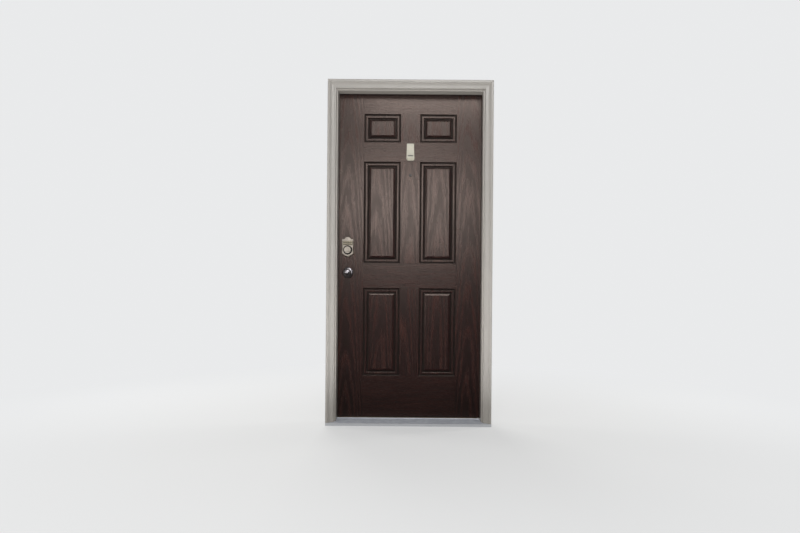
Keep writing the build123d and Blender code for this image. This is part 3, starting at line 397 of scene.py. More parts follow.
def grooveBands(tree, axes, aside):
    # bands to either side of the panels' outlines, where the painted shade reaches deeper
    outlines = [(aside, stain["mullionEdge"]), (aside, stain["stileEdge"])]
    outlines += [(axes["Z"], edge) for edge in stain["rowEdges"]]
    quirk = 0.0
    for across, edge in outlines:
        band = addNode(tree, "ShaderNodeMath", {0: across, 1: edge, 2: stain["quirkWidth"]},
                       operation="COMPARE").outputs[0]
        quirk = addNode(tree, "ShaderNodeMath", {0: quirk, 1: band}, operation="MAXIMUM").outputs[0]
    return quirk


def grainTone(tree, grain, joint):
    # growth rings: long ellipses that end in cathedral points, bent a little
    bends = addNode(tree, "ShaderNodeVectorMath", {0: grain, 1: stain["bendsPerMetre"]},
                    operation="MULTIPLY").outputs[0]
    wander = addNode(tree, "ShaderNodeTexNoise",
                     {"Vector": bends, "Scale": 1.0, "Detail": 3.0}).outputs["Color"]
    squeezed = addNode(tree, "ShaderNodeVectorMath", {0: grain, 1: (1.0, 1.0, stain["ringStretch"])},
                       operation="MULTIPLY").outputs[0]
    bent = addNode(tree, "ShaderNodeVectorMath", {0: wander, 1: [stain["ringWander"] * 2] * 3, 2: squeezed},
                   operation="MULTIPLY_ADD").outputs[0]
    reach = addNode(tree, "ShaderNodeVectorMath", {0: bent}, operation="LENGTH").outputs["Value"]
    halfGap = stain["ringGap"] / 2
    folded = addNode(tree, "ShaderNodeMath", {0: reach, 1: halfGap}, operation="PINGPONG").outputs[0]
    ring = addNode(tree, "ShaderNodeMath", {0: folded, 1: halfGap}, operation="DIVIDE").outputs[0]

    # pores: short dark dashes along the grain
    dashes = streakNoise(tree, grain, stain["poreWidth"], stain["poreLength"], "Z", 2.0)
    poreStart, poreFull = stain["poreNoise"]
    pore = addNode(tree, "ShaderNodeMapRange",
                   {"Value": dashes, "From Min": poreStart, "From Max": poreFull}).outputs[0]

    # broad lights and darks where the stain was wiped
    streak = streakNoise(tree, grain, stain["streakWidth"], stain["streakLength"], "Z", 4.0)
    wipes = addNode(tree, "ShaderNodeVectorMath", {0: grain, 1: stain["cloudsPerMetre"]},
                    operation="MULTIPLY").outputs[0]
    cloud = addNode(tree, "ShaderNodeTexNoise", {"Vector": wipes, "Scale": 1.0, "Detail": 4.0}).outputs[0]
    tone = addNode(tree, "ShaderNodeMix", {0: stain["streakShare"], 2: cloud, 3: streak},
                   data_type="FLOAT").outputs[0]
    for mark, weight in ((ring, "ringWeight"), (pore, "poreWeight"), (joint, "jointWeight")):
        tone = addNode(tree, "ShaderNodeMath", {0: mark, 1: stain[weight], 2: tone},
                       operation="MULTIPLY_ADD").outputs[0]
    return tone


def stainedGrainSkin():
    # Press-moulded fibreglass with an oak grain, wiped with espresso stain and varnished: the stain stays
    # dark in the pores and growth rings and thin on the high spots, under a satin coat; painted shade in the
    # grooves
    material, tree, shader, place = startMaterial("stainedGrainFibreglass")
    axes = addNode(tree, "ShaderNodeSeparateXYZ", {0: place}).outputs
    aside = addNode(tree, "ShaderNodeMath", {0: axes["X"]}, operation="ABSOLUTE").outputs[0]
    tone = grainTone(tree, *boardLayout(tree, axes, aside))
    wood = addNode(tree, "ShaderNodeValToRGB", {0: tone}, stops=stain["tones"]).outputs[0]

    # painted shade in the panels' grooves, deepest in the quirk round the bead
    outside = addNode(tree, "ShaderNodeMath", {0: axes["Y"], 1: stain["outerFace"]},
                      operation="SUBTRACT").outputs[0]
    inside = addNode(tree, "ShaderNodeMath", {0: stain["innerFace"], 1: axes["Y"]},
                     operation="SUBTRACT").outputs[0]
    sunk = addNode(tree, "ShaderNodeMath", {0: outside, 1: inside}, operation="MINIMUM").outputs[0]
    depth = addNode(tree, "ShaderNodeMath",
                    {0: grooveBands(tree, axes, aside), 1: stain["quirkExtra"], 2: sunk},
                    operation="MULTIPLY_ADD").outputs[0]
    shadeStart, shadeFull = stain["shadeDepths"]
    grooveShade = addNode(tree, "ShaderNodeMapRange",
                   {"Value": depth, "From Min": shadeStart, "From Max": shadeFull,
                    "To Max": stain["shadeShare"]}).outputs[0]
    colour = addNode(tree, "ShaderNodeMix", {0: grooveShade, 6: wood, 7: linearColour(stain["paintedGrooveShade"])},
                     data_type="RGBA").outputs[2]
    tree.links.new(colour, shader.inputs["Base Color"])

    darkest, lightest = stain["sheenTones"]
    dull, smooth = stain["roughness"]
    sheen = addNode(tree, "ShaderNodeMapRange",
                    {"Value": tone, "From Min": darkest, "From Max": lightest,
                     "To Min": dull, "To Max": smooth}).outputs[0]
    gloss = addNode(tree, "ShaderNodeMix", {0: grooveShade, 2: sheen, 3: stain["shadedGrooveRoughness"]},
                    data_type="FLOAT").outputs[0]
    tree.links.new(gloss, shader.inputs["Roughness"])
    shader.inputs["Specular Tint"].default_value = linearColour(stain["varnish"])
    addRelief(tree, shader, tone, *stain["relief"])
    return material


edgeWood = {
    "stained": ("#33241d", "#463229", 0.5),     # dark and light streaks, roughness
    "raw": ("#b89668", "#d2b585", 0.75),
    "darkTone": 0.3,
    "lightTone": 0.7,
    "grainWidth": 2.5 * mm,
    "grainLength": 160 * mm,
    "relief": (0.3, 0.15 * mm),
}


def solidWood(name, look, lengthwise):
    # Planed softwood: fine straight streaks along the piece, dull where it is raw
    material, tree, shader, place = startMaterial(name)
    dark, light, roughness = edgeWood[look]
    streaks = streakNoise(tree, place, edgeWood["grainWidth"], edgeWood["grainLength"], lengthwise, 4.0)
    colour = addNode(tree, "ShaderNodeValToRGB", {0: streaks},
                     stops=[(edgeWood["darkTone"], dark), (edgeWood["lightTone"], light)]).outputs[0]
    tree.links.new(colour, shader.inputs["Base Color"])
    shader.inputs["Roughness"].default_value = roughness
    addRelief(tree, shader, streaks, *edgeWood["relief"])
    return material


foam = {
    "cell": 1.2 * mm,
    "tones": [(0.0, "#d8cb9c"), (0.7, "#ebe2bd")],
    "roughness": 0.95,
}


def foamCore():
    # Poured polyurethane foam: pale yellow, matte, with fine closed cells
    material, tree, shader, place = startMaterial("pouredPolyurethaneFoam")
    cells = addNode(tree, "ShaderNodeTexVoronoi",
                    {"Vector": place, "Scale": 1 / foam["cell"]}).outputs["Distance"]
    colour = addNode(tree, "ShaderNodeValToRGB", {0: cells}, stops=foam["tones"]).outputs[0]
    tree.links.new(colour, shader.inputs["Base Color"])
    shader.inputs["Roughness"].default_value = foam["roughness"]
    return material


dress(["outer_skin", "inner_skin"], stainedGrainSkin())
dress(["hinge_stile", "lock_stile"], solidWood("stainedPineEdge", "stained", "Z"))
dress(["top_rail", "bottom_rail"], solidWood("planedPineRail", "raw", "X"))
dress(["lock_block"], solidWood("planedPineBlock", "raw", "Z"))
dress(["foam_core"], foamCore())
print("leaf dressed")


# Frame: jambs and casing

paint = {
    "jamb": "#9b9690",
    "casing": "#9a9691",
    "worn": "#7c7567",
    "roughness": 0.42,
    "brushWidth": 1.4 * mm,
    "brushLength": 90 * mm,
    "cloudsPerMetre": 9.0,
    "cloudWear": 0.10,
    "dustTop": 220 * mm,            # road dust thickens from here down to the sill
    "dustFull": 20 * mm,
    "dustWear": 0.35,
    "mitreInner": 452.3 * mm,       # inner corner of the casing's mitre
    "mitreHeight": 2049.3 * mm,
    "mitreLine": 0.5 * mm,
    "mitreWear": 0.55,
    "relief": (0.16, 0.10 * mm, 0.8 * mm),
}


def brushedPaint(name, colourHex, lengthwise, mitred):
    # Primed pine with two coats of brushed acrylic: soft brush marks along the piece, rounded edges,
    # a little road dust near the sill
    material, tree, shader, place = startMaterial(name)
    axes = addNode(tree, "ShaderNodeSeparateXYZ", {0: place}).outputs
    brush = streakNoise(tree, place, paint["brushWidth"], paint["brushLength"], lengthwise, 3.0)
    clouds = addNode(tree, "ShaderNodeTexNoise",
                     {"Vector": place, "Scale": paint["cloudsPerMetre"], "Detail": 4.0}).outputs[0]
    lowness = addNode(tree, "ShaderNodeMapRange",
                      {"Value": axes["Z"], "From Min": paint["dustTop"], "From Max": paint["dustFull"],
                       "To Max": paint["dustWear"]}).outputs[0]
    dust = addNode(tree, "ShaderNodeMath", {0: lowness, 1: clouds}, operation="MULTIPLY").outputs[0]
    grime = addNode(tree, "ShaderNodeMath", {0: clouds, 1: paint["cloudWear"], 2: dust},
                    operation="MULTIPLY_ADD").outputs[0]
    if mitred:
        aside = addNode(tree, "ShaderNodeMath", {0: axes["X"]}, operation="ABSOLUTE").outputs[0]
        across = addNode(tree, "ShaderNodeMath", {0: aside, 1: paint["mitreInner"]},
                         operation="SUBTRACT").outputs[0]
        up = addNode(tree, "ShaderNodeMath", {0: axes["Z"], 1: paint["mitreHeight"]},
                     operation="SUBTRACT").outputs[0]
        mitre = addNode(tree, "ShaderNodeMath", {0: across, 1: up, 2: paint["mitreLine"]},
                        operation="COMPARE").outputs[0]
        grime = addNode(tree, "ShaderNodeMath", {0: mitre, 1: paint["mitreWear"], 2: grime},
                        operation="MULTIPLY_ADD").outputs[0]
    colour = addNode(tree, "ShaderNodeMix",
                     {0: grime, 6: linearColour(colourHex), 7: linearColour(paint["worn"])},
                     data_type="RGBA").outputs[2]
    tree.links.new(colour, shader.inputs["Base Color"])
    shader.inputs["Roughness"].default_value = paint["roughness"]
    addRelief(tree, shader, brush, *paint["relief"])
    return material


dress(["hinge_jamb", "latch_jamb"], brushedPaint("brushedCreamJamb", paint["jamb"], "Z", False))
dress(["head_jamb"], brushedPaint("brushedCreamHead", paint["jamb"], "X", False))
dress(["hinge_side_casing", "latch_side_casing"],
      brushedPaint("brushedCreamCasing", paint["casing"], "Z", True))
dress(["head_casing"], brushedPaint("brushedCreamHeadCasing", paint["casing"], "X", True))
print("frame dressed")


# Sill and seals

sill = {
    "tones": [(0.15, "#bcc0c9"), (0.40, "#d3d7dd")],
    "roughness": (0.40, 0.62),
    "metallic": 0.1,
    "nosing": "#b4b6b9",        # worn where feet meet it
    "nosingBack": -27 * mm,     # the worn strip ends here
    "noseFront": -33 * mm,
    "drawLine": 0.9 * mm,
    "drawLength": 400 * mm,
    "scuffsPerMetre": 30.0,
    "relief": (0.2, 0.1 * mm, 0.6 * mm),
}


def drawnAluminium():
    # Extruded and clear-anodised aluminium: fine die lines along the sill, dull blue-grey, foot-worn
    material, tree, shader, place = startMaterial("anodisedAluminiumSill")
    drawn = streakNoise(tree, place, sill["drawLine"], sill["drawLength"], "X", 3.0)
    scuffs = addNode(tree, "ShaderNodeTexNoise",
                     {"Vector": place, "Scale": sill["scuffsPerMetre"], "Detail": 5.0}).outputs[0]
    tone = addNode(tree, "ShaderNodeMath", {0: drawn, 1: scuffs}, operation="MULTIPLY").outputs[0]
    colour = addNode(tree, "ShaderNodeValToRGB", {0: tone}, stops=sill["tones"]).outputs[0]
    forward = addNode(tree, "ShaderNodeSeparateXYZ", {0: place}).outputs["Y"]
    trodden = addNode(tree, "ShaderNodeMapRange",
                      {"Value": forward, "From Min": sill["nosingBack"],
                       "From Max": sill["noseFront"]}).outputs[0]
    worn = addNode(tree, "ShaderNodeMix", {0: trodden, 6: colour, 7: linearColour(sill["nosing"])},
                   data_type="RGBA").outputs[2]
    tree.links.new(worn, shader.inputs["Base Color"])
    varyRoughness(tree, shader, scuffs, *sill["roughness"])
    shader.inputs["Metallic"].default_value = sill["metallic"]
    addRelief(tree, shader, drawn, *sill["relief"])
    return material


polymer = {
    "cloudsPerMetre": 40.0,
    "lowShade": 0.86,           # shares of the colour that the clouds run between
    "highShade": 1.10,
    "paintedSlotShade": 0.16,
    # share of the colour kept in the slots' painted shade, and how far it fades in
    "slotShadeReach": 1.5 * mm,
    "relief": (0.15, 0.05 * mm, 0.3 * mm),
    # material, nodes, colour, size of the skin's pebbles, roughness
    "byTheSill": [
        ("recycledCompositeSill", ["sill_base"], "#8a8478", 2.0 * mm, 0.8),
        ("extrudedVinylCap", ["sill_cap"], "#6f5b44", 1.0 * mm, 0.5),
        ("foamSealVinylSkin", ["hinge_side_seal", "latch_side_seal", "head_seal"], "#2e2622", 0.6 * mm, 0.55),
        ("flexibleVinylSweep", ["door_sweep"], "#242120", 0.8 * mm, 0.6),
        ("openCellFoamPad", ["corner_pads"], "#4a4641", 1.2 * mm, 0.95),
    ],
    # the same, and the depth from which the slots get painted shade
    "byTheLocks": [
        ("oiledBronzeViewer", ["viewer_barrel", "viewer_sleeve"], "#1f1813", 0.5 * mm, 0.4, None),
        ("mouldedWhiteHook", ["wreath_hook"], "#b0ac9c", 0.8 * mm, 0.4, 67.0 * mm),
        ("mouldedKeys", keyNames, "#958c79", 0.4 * mm, 0.45, None),
    ],
}


def mouldedPlastic(name, colourHex, pebbleSize, roughness, shadeFrom=None):
    # Moulded or extruded polymer: even colour with a faint pebbled skin, and painted shade in slots that lie
    # farther into the house than a given depth. The viewer's oiled bronze is as dark and even
    material, tree, shader, place = startMaterial(name)
    pebbles = addNode(tree, "ShaderNodeTexNoise",
                      {"Vector": place, "Scale": 1 / pebbleSize, "Detail": 2.0}).outputs[0]
    clouds = addNode(tree, "ShaderNodeTexNoise",
                     {"Vector": place, "Scale": polymer["cloudsPerMetre"], "Detail": 2.0}).outputs[0]
    low, high, shadowed = [[min(part * polymer[share], 1.0) for part in linearColour(colourHex)[:3]] + [1.0]
                        for share in ("lowShade", "highShade", "paintedSlotShade")]
    colour = addNode(tree, "ShaderNodeMix", {0: clouds, 6: low, 7: high}, data_type="RGBA").outputs[2]
    # painted shade in slots that lie deeper than the given depth
    if shadeFrom is not None:
        depth = addNode(tree, "ShaderNodeSeparateXYZ", {0: place}).outputs["Y"]
        sunk = addNode(tree, "ShaderNodeMapRange",
                       {"Value": depth, "From Min": shadeFrom,
                        "From Max": shadeFrom + polymer["slotShadeReach"]}).outputs[0]
        colour = addNode(tree, "ShaderNodeMix", {0: sunk, 6: colour, 7: shadowed}, data_type="RGBA").outputs[2]
    tree.links.new(colour, shader.inputs["Base Color"])
    shader.inputs["Roughness"].default_value = roughness
    addRelief(tree, shader, pebbles, *polymer["relief"])
    return material


dress(["sill_deck"], drawnAluminium())
for name, nodeNames, colourHex, pebbleSize, roughness in polymer["byTheSill"]:
    dress(nodeNames, mouldedPlastic(name, colourHex, pebbleSize, roughness))
print("sill and seals dressed")


# Locks, hinges and strikes

knobHeight = 930 * mm
boltHeight = 1071 * mm
hingeNodes = [height + "_" + side + "_hinge_leaf"
              for height in ("lower", "middle", "upper") for side in ("door", "jamb")]
nickel = {
    # material, finish, height of the axis that it was turned round, nodes
    "pieces": [
        ("brushedSatinNickel", "plate", None,
         hingeNodes + ["hinge_pins", "latch_strike", "deadbolt_strike", "latch_case", "deadbolt_case",
                       "battery_cover", "mounting_plate", "latch_bolt",
                       "frame_screws", "leaf_screws", "through_screws"]),
        ("turnedSatinNickelKnob", "knob", knobHeight,
         ["outer_rose", "inner_rose", "outer_knob", "inner_knob"]),
        ("turnedSatinNickelTurn", "innerTurn", boltHeight, ["inner_turn", "deadbolt"]),
        ("turnedShadedRimTurn", "outerTurn", boltHeight, ["outer_turn"]),
        ("brushedNickelKeypad", "keypad", None, ["keypad_body"]),
    ],
    # dark and light colour, roughness where it is smoothest and roughest, how metallic it looks
    "plate": ("#857d75", "#b0a79d", 0.26, 0.42, 1.0),
    "keypad": ("#857d75", "#b0a79d", 0.34, 0.48, 1.0),
    "knob": ("#87848a", "#b6b2b6", 0.22, 0.34, 1.0),        # cooler grey: a painted reflection of the sky
    "innerTurn": ("#857d75", "#b0a79d", 0.52, 0.64, 1.0),
    "outerTurn": ("#8e867c", "#bcb3a8", 0.52, 0.64, 0.6),   # blasted matte, so it looks paler
    "darkTone": 0.45,
    "lightTone": 1.0,
    "lineWeight": 0.5,
    "handledPerMetre": 55.0,    # clouds where hands have been
    "lineWidth": 0.25 * mm,
    "lineLength": 30 * mm,
    "relief": (0.12, 0.03 * mm, 0.35 * mm),
    "lockX": -384 * mm,
    # painted shade, black, for the ring well round the outer turn and the turn's rim
    "paintedShadeBlack": "#1d1915",
    "rimStart": 20.1 * mm,      # the outer turn's rounded rim and flank get painted shade
    "rimReach": 0.8 * mm,
    "wellRadius": 28.6 * mm,    # the ring well round the outer turn and its lip, in painted shade
    "keyGapShade": "#5b564a",    # painted shade on the floor between the keys
    "floorStart": 52.2 * mm,    # the key field's floor lies deeper than this
    "floorNormal": -0.7,        # and looks outwards: its normal along Y is below this
    "keyMargin": 0.9 * mm,      # how far the floor reaches past the keys
}


def radiusRound(tree, place, height):
    # distance from the level axis of the lock at this height
    centred = addNode(tree, "ShaderNodeVectorMath", {0: place, 1: (nickel["lockX"], 0, height)},
                      operation="SUBTRACT").outputs[0]
    flat = addNode(tree, "ShaderNodeVectorMath", {0: centred, 1: (1, 0, 1)}, operation="MULTIPLY").outputs[0]
    return addNode(tree, "ShaderNodeVectorMath", {0: flat}, operation="LENGTH").outputs["Value"]


def darkenHollows(tree, place, colour):
    # painted shade: black in the ring well round the outer turn, mid grey on the floor between the keys
    axes = addNode(tree, "ShaderNodeSeparateXYZ", {0: place}).outputs
    facing = addNode(tree, "ShaderNodeTexCoord").outputs["Normal"]
    forward = addNode(tree, "ShaderNodeSeparateXYZ", {0: facing}).outputs["Y"]
    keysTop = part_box("key_1")[1][2] + nickel["keyMargin"]
    field = 1.0
    for value, limit, side in ((forward, nickel["floorNormal"], "LESS_THAN"),
                               (axes["Y"], nickel["floorStart"], "GREATER_THAN"),
                               (axes["Z"], keysTop, "LESS_THAN")):
        within = addNode(tree, "ShaderNodeMath", {0: value, 1: limit}, operation=side).outputs[0]
        field = addNode(tree, "ShaderNodeMath", {0: field, 1: within}, operation="MULTIPLY").outputs[0]
    keyed = addNode(tree, "ShaderNodeMix", {0: field, 6: colour, 7: linearColour(nickel["keyGapShade"])},
                    data_type="RGBA").outputs[2]
    radius = radiusRound(tree, place, boltHeight)
    well = addNode(tree, "ShaderNodeMath", {0: radius, 1: nickel["wellRadius"]},
                   operation="LESS_THAN").outputs[0]
    return addNode(tree, "ShaderNodeMix", {0: well, 6: keyed, 7: linearColour(nickel["paintedShadeBlack"])},
                   data_type="RGBA").outputs[2]


def satinNickel(name, finish, turnedAt):
    # Nickel plate with a satin finish: fine lines, upright where it was brushed and round where it was
    # turned, with painted shade in the keypad's well, between its keys and on the outer turn's rim
    material, tree, shader, place = startMaterial(name)
    dark, light, smoothest, roughest, metallic = nickel[finish]
    if turnedAt is None:
        brushed = streakNoise(tree, place, nickel["lineWidth"], nickel["lineLength"], "Z", 2.0)
    else:
        radius = radiusRound(tree, place, turnedAt)
        depth = addNode(tree, "ShaderNodeSeparateXYZ", {0: place}).outputs["Y"]
        rings = addNode(tree, "ShaderNodeCombineXYZ", {0: radius, 1: depth}).outputs[0]
        brushed = addNode(tree, "ShaderNodeTexNoise",
                          {"Vector": rings, "Scale": 1 / nickel["lineWidth"], "Detail": 2.0}).outputs[0]
    handled = addNode(tree, "ShaderNodeTexNoise",
                      {"Vector": place, "Scale": nickel["handledPerMetre"], "Detail": 3.0}).outputs[0]
    tone = addNode(tree, "ShaderNodeMath", {0: brushed, 1: nickel["lineWeight"], 2: handled},
                   operation="MULTIPLY_ADD").outputs[0]
    colour = addNode(tree, "ShaderNodeValToRGB", {0: tone},
                     stops=[(nickel["darkTone"], dark), (nickel["lightTone"], light)]).outputs[0]
    # painted shade on the outer turn's rim and flank
    if finish == "outerTurn":
        rim = addNode(tree, "ShaderNodeMapRange",
                      {"Value": radius, "From Min": nickel["rimStart"],
                       "From Max": nickel["rimStart"] + nickel["rimReach"]}).outputs[0]
        colour = addNode(tree, "ShaderNodeMix", {0: rim, 6: colour, 7: linearColour(nickel["paintedShadeBlack"])},
                         data_type="RGBA").outputs[2]
    # painted shade in the keypad's ring well and between its keys
    if finish == "keypad":
        colour = darkenHollows(tree, place, colour)
    tree.links.new(colour, shader.inputs["Base Color"])
    varyRoughness(tree, shader, handled, smoothest, roughest)
    shader.inputs["Metallic"].default_value = metallic
    addRelief(tree, shader, brushed, *nickel["relief"])
    return material


for name, finish, turnedAt, nodeNames in nickel["pieces"]:
    dress(nodeNames, satinNickel(name, finish, turnedAt))
for name, nodeNames, colourHex, pebbleSize, roughness, shadeFrom in polymer["byTheLocks"]:
    dress(nodeNames, mouldedPlastic(name, colourHex, pebbleSize, roughness, shadeFrom))
print("locks and hinges dressed")


# Screws, with a cross recess and a thread

fastener = {
    "zincTones": [(0.3, "#8f8c82"), (0.7, "#b5b3ab")],
    "zincRoughness": 0.3,
    "tarnishPerMetre": 900.0,
    "headSides": 24,
    "headRadius": 4.2 * mm,
    "coneDepth": 2.0 * mm,
    "shankTop": 0.9,                # share of the cone's depth at which the shank starts
    "shankSides": 16,
    "rootRadius": 1.55 * mm,
    "ridge": 0.62 * mm,             # radius of the thread's three-sided section
    "pitch": 1.8 * mm,
    "threadSteps": 12,
    "tipLength": 3.2 * mm,
    "tipRadius": 0.15 * mm,
    "recessReach": 2.5 * mm,
    "recessWidth": 0.95 * mm,
    "recessDepth": 1.3 * mm,
    "leafMiddleY": 93.75 * mm,
    "leafEdge": 454 * mm,
    "jambEdge": 457 * mm,
    "jambBack": 476 * mm,
    "hingeRows": [(-34 * mm, 104 * mm), (0, 90 * mm), (34 * mm, 104 * mm)],     # above the middle, and Y
    "hingeLength": 18 * mm,
    "latchStrikeReach": 19.6 * mm,      # reaches are above and below the middle
    "deadboltStrikeReach": 26 * mm,
    "strikeLength": 16 * mm,
    "facePlateReach": 21.6 * mm,
    "facePlateLength": 18 * mm,
    "throughReach": 18 * mm,
    "latchThrough": (125.4 * mm, 39.9 * mm),        # Y of the head, and length
    "deadboltThrough": (118.5 * mm, 33.0 * mm),
    "cornerDepths": (30 * mm, 86 * mm),
    "cornerHeights": (9 * mm, 2063.5 * mm),
    "cornerLength": 45 * mm,
    "capPlaces": (-363.2 * mm, -136.2 * mm, 136.2 * mm, 363.2 * mm),
    "capDepth": 87.15 * mm,
    "capTop": 29 * mm,
    "capLength": 22 * mm,
}
driven = {                          # how a screw that points down is turned to point along an axis
    "+X": (0, math.radians(-90), 0),
    "-X": (0, math.radians(90), 0),
    "-Y": (math.radians(-90), 0, 0),
    "-Z": (0, 0, 0),
}


def zincPlate():
    # Bright zinc plate over steel: pale grey metal with a slight yellow cast and small tarnish clouds
    material, tree, shader, place = startMaterial("zincPlatedSteelScrew")
    clouds = addNode(tree, "ShaderNodeTexNoise",
                     {"Vector": place, "Scale": fastener["tarnishPerMetre"], "Detail": 2.0}).outputs[0]
    colour = addNode(tree, "ShaderNodeValToRGB", {0: clouds}, stops=fastener["zincTones"]).outputs[0]
    tree.links.new(colour, shader.inputs["Base Color"])
    shader.inputs["Metallic"].default_value = 1.0
    shader.inputs["Roughness"].default_value = fastener["zincRoughness"]
    return material


def windThread(turns):
    # a three-sided ridge that winds down the shank from below the head
    bpy.ops.mesh.primitive_circle_add(vertices=3, radius=fastener["ridge"], rotation=(math.radians(90), 0, 0))
    bakePlace()
    ridge = bpy.context.object
    ridge.rotation_euler = (0, math.radians(90), 0)
    ridge.location = (fastener["rootRadius"], 0, -fastener["coneDepth"] - fastener["ridge"])
    bakePlace()
    bpy.ops.object.modifier_add(type="SCREW")
    winding = ridge.modifiers[-1]
    winding.screw_offset = -fastener["pitch"]
    winding.iterations = turns
    winding.steps = fastener["threadSteps"]
    winding.render_steps = fastener["threadSteps"]
    bpy.ops.object.modifier_apply(modifier=winding.name)
    bpy.ops.object.mode_set(mode="EDIT")
    bpy.ops.mesh.select_all(action="SELECT")
    bpy.ops.mesh.fill_holes(sides=3)
    bpy.ops.object.mode_set(mode="OBJECT")
    return ridge


def makeScrew(length, material):
    # points down from the origin: head, shank with a helical ridge, pointed tip
    cone = fastener["coneDepth"]
    root = fastener["rootRadius"]
    tipLength = fastener["tipLength"]
    bpy.ops.mesh.primitive_cone_add(vertices=fastener["headSides"], radius1=root,
                                    radius2=fastener["headRadius"], depth=cone, location=(0, 0, -cone / 2))
    head = bpy.context.object
    for turn in (0, math.radians(90)):
        bpy.ops.mesh.primitive_cube_add(size=1, rotation=(0, 0, turn))
        slot = bpy.context.object
        slot.scale = (fastener["recessReach"] * 2, fastener["recessWidth"], fastener["recessDepth"] * 2)
        bakePlace()
        cutWith(head, slot)
    shankLow = -length + tipLength
    shankHigh = -cone * fastener["shankTop"]
    bpy.ops.mesh.primitive_cylinder_add(vertices=fastener["shankSides"], radius=root,
                                        depth=shankHigh - shankLow,
                                        location=(0, 0, (shankHigh + shankLow) / 2))
    shank = bpy.context.object
    bpy.ops.mesh.primitive_cone_add(vertices=fastener["shankSides"], radius1=fastener["tipRadius"],
                                    radius2=root, depth=tipLength,
                                    location=(0, 0, shankLow - tipLength / 2))
    tip = bpy.context.object
    turns = int((length - cone - tipLength) / fastener["pitch"])
    ridge = windThread(max(turns - 1, 1))
    screw = joinPieces([head, shank, tip, ridge], "screwPattern")
    turnOutwards()
    screw.data.materials.clear()
    screw.data.materials.append(material)
    return screw


def driveScrews(places, name, node, body, material):
    # places are (axis, length, place); one pattern is made for each length and copied
    patterns = {}
    for axis, length, place in places:
        if length not in patterns:
            patterns[length] = makeScrew(length, material)
    copies = []
    for axis, length, place in places:
        makeActive(patterns[length])
        bpy.ops.object.duplicate(linked=False)
        screw = bpy.context.object
        screw.rotation_euler = driven[axis]
        screw.location = place
        bakePlace()
        copies.append(screw)
    for pattern in patterns.values():
        makeActive(pattern)
        bpy.ops.object.delete()
    whole = joinPieces(copies, name)
    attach(whole, body)
    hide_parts(node)


def screwPlaces():
    hinges = [boxMiddle(height + "_door_hinge_leaf")[2] for height in ("lower", "middle", "upper")]
    latchZ = boxMiddle("latch_case")[2]
    boltZ = boxMiddle("deadbolt_case")[2]
    middleY = fastener["leafMiddleY"]
    inFrame = []
    inLeaf = []
    for z in hinges:
        for up, y in fastener["hingeRows"]:
            inFrame.append(("+X", fastener["hingeLength"], (fastener["jambEdge"], y, z + up)))
            inLeaf.append(("-X", fastener["hingeLength"], (fastener["leafEdge"], y, z + up)))
    for side in (-1, 1):
        for z, reach in ((latchZ, "latchStrikeReach"), (boltZ, "deadboltStrikeReach")):
            place = (-fastener["jambEdge"], middleY, z + side * fastener[reach])
            inFrame.append(("-X", fastener["strikeLength"], place))
        for z in (latchZ, boltZ):
            place = (-fastener["leafEdge"], middleY, z + side * fastener["facePlateReach"])
            inLeaf.append(("+X", fastener["facePlateLength"], place))
        inwards = "-X" if side > 0 else "+X"
        for y in fastener["cornerDepths"]:
            for z in fastener["cornerHeights"]:
                inFrame.append((inwards, fastener["cornerLength"], (side * fastener["jambBack"], y, z)))
    for x in fastener["capPlaces"]:
        inFrame.append(("-Z", fastener["capLength"], (x, fastener["capDepth"], fastener["capTop"])))
    through = []
    for z, (headY, length) in ((latchZ, fastener["latchThrough"]), (boltZ, fastener["deadboltThrough"])):
        for side in (-1, 1):
            through.append(("-Y", length, (nickel["lockX"], headY, z + side * fastener["throughReach"])))
    return inFrame, inLeaf, through


frameScrews, leafScrews, throughScrews = screwPlaces()
zinc = zincPlate()
driveScrews(frameScrews, "frameScrewSet", "frame_screws", "frame", zinc)
driveScrews(leafScrews, "leafScrewSet", "leaf_screws", "door", zinc)
driveScrews(throughScrews, "throughScrewSet", "through_screws", "door", zinc)
print("screws driven")


# Digits on the keys, lenses of viewer and lamp

digit = {
    "height": 6.6 * mm,         # the type's size, of which a figure fills about two thirds
    "thickness": 0.16 * mm,
    "sunk": 0.06 * mm,
    "curveSteps": 3,
    "weld": 0.002 * mm,         # points closer than this are one
    "tones": [(0.35, "#453e35"), (0.8, "#5c5449")],
    "wearPerMetre": 700.0,
    "roughness": 0.7,
}


def printedInk():
    # Pad-printed ink: dark, dull, a little uneven
    material, tree, shader, place = startMaterial("padPrintedDarkInk")
    worn = addNode(tree, "ShaderNodeTexNoise",
                   {"Vector": place, "Scale": digit["wearPerMetre"], "Detail": 3.0}).outputs[0]
    colour = addNode(tree, "ShaderNodeValToRGB", {0: worn}, stops=digit["tones"]).outputs[0]
    tree.links.new(colour, shader.inputs["Base Color"])
    shader.inputs["Roughness"].default_value = digit["roughness"]
    return material


def printDigits():
    ink = printedInk()
    for number, key in enumerate(keyNames, 1):
        middle = boxMiddle(key)
        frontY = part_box(key)[0][1]
        deselectAll()
        bpy.ops.object.text_add()
        figure = bpy.context.object
        figure.data.body = str(number % 10)
        figure.data.align_x = "CENTER"
        figure.data.align_y = "CENTER"
        figure.data.size = digit["height"]
        figure.data.extrude = digit["thickness"] / 2
        figure.data.resolution_u = digit["curveSteps"]
        bpy.ops.object.convert(target="MESH")
        figure = bpy.context.object
        figure.name = "keyDigit" + str(number)
        figure.rotation_euler = (math.radians(90), 0, 0)
        figure.location = (middle[0], frontY + digit["sunk"] - digit["thickness"] / 2, middle[2])
        bakePlace()
        bpy.ops.object.mode_set(mode="EDIT")
        bpy.ops.mesh.select_all(action="SELECT")
        bpy.ops.mesh.remove_doubles(threshold=digit["weld"])
        turnOutwards()
        figure.data.materials.clear()
        figure.data.materials.append(ink)
        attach(figure, key)


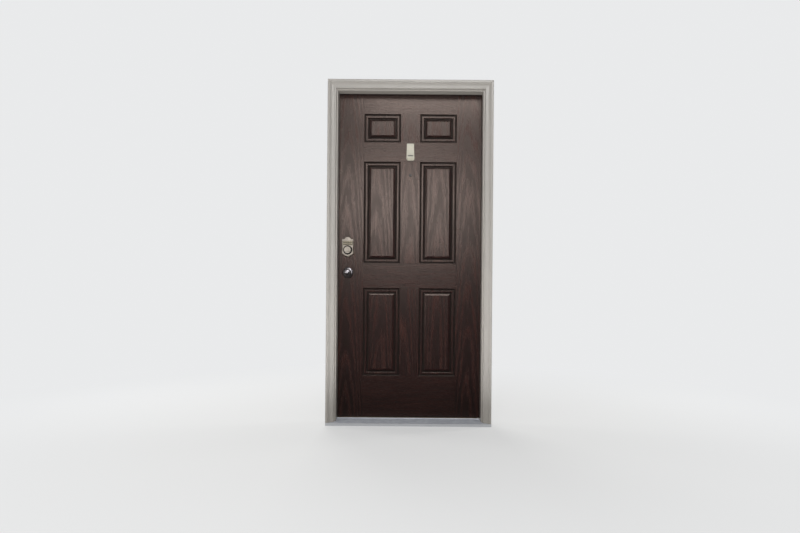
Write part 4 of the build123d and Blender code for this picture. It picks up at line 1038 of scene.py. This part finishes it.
lens = {
    # radius, bulge, and Y of the crown
    "viewerLens": (5.1 * mm, 2.4 * mm, 69.0 * mm),
    "viewerEyepiece": (3.7 * mm, 1.0 * mm, 118.4 * mm),
    "keypadLampLens": (1.7 * mm, 0.7 * mm, 52.2 * mm),
    "lampHeight": 1137 * mm,
    "sides": 24,
    "rings": 12,
    "smoothBelow": math.radians(40),
    "glass": "#0b0d10",
    "lamp": "#20281f",
    "smearsPerMetre": 400.0,
    "roughness": (0.04, 0.14),
}


def darkGlass(name, hexText):
    # Ground glass over a black bore: nearly black with a sharp reflection
    material, tree, shader, place = startMaterial(name)
    smear = addNode(tree, "ShaderNodeTexNoise",
                    {"Vector": place, "Scale": lens["smearsPerMetre"], "Detail": 2.0}).outputs[0]
    varyRoughness(tree, shader, smear, *lens["roughness"])
    shader.inputs["Base Color"].default_value = linearColour(hexText)
    return material


def groundLens(name, x, z, outward, material):
    # a plano-convex lens: half a flattened ball, its flat side away from the eye
    radius, bulge, crown = lens[name]
    bpy.ops.mesh.primitive_uv_sphere_add(segments=lens["sides"], ring_count=lens["rings"], radius=radius)
    glass = bpy.context.object
    glass.name = name
    glass.scale = (1, bulge / radius, 1)
    bakePlace()
    bpy.ops.object.mode_set(mode="EDIT")
    bpy.ops.mesh.select_all(action="SELECT")
    bpy.ops.mesh.bisect(plane_co=(0, 0, 0), plane_no=(0, outward, 0), use_fill=True, clear_inner=True)
    turnOutwards()
    bpy.ops.object.shade_smooth_by_angle(angle=lens["smoothBelow"])
    glass.location = (x, crown - outward * bulge, z)
    bakePlace()
    glass.data.materials.append(material)
    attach(glass, "door")


printDigits()
viewerX, viewerZ = boxMiddle("viewer_barrel")[::2]
viewerGlass = darkGlass("groundViewerGlass", lens["glass"])
groundLens("viewerLens", viewerX, viewerZ, -1, viewerGlass)
groundLens("viewerEyepiece", viewerX, viewerZ, 1, viewerGlass)
groundLens("keypadLampLens", nickel["lockX"], lens["lampHeight"], -1,
           darkGlass("mouldedLampLens", lens["lamp"]))
print("digits and lenses placed")
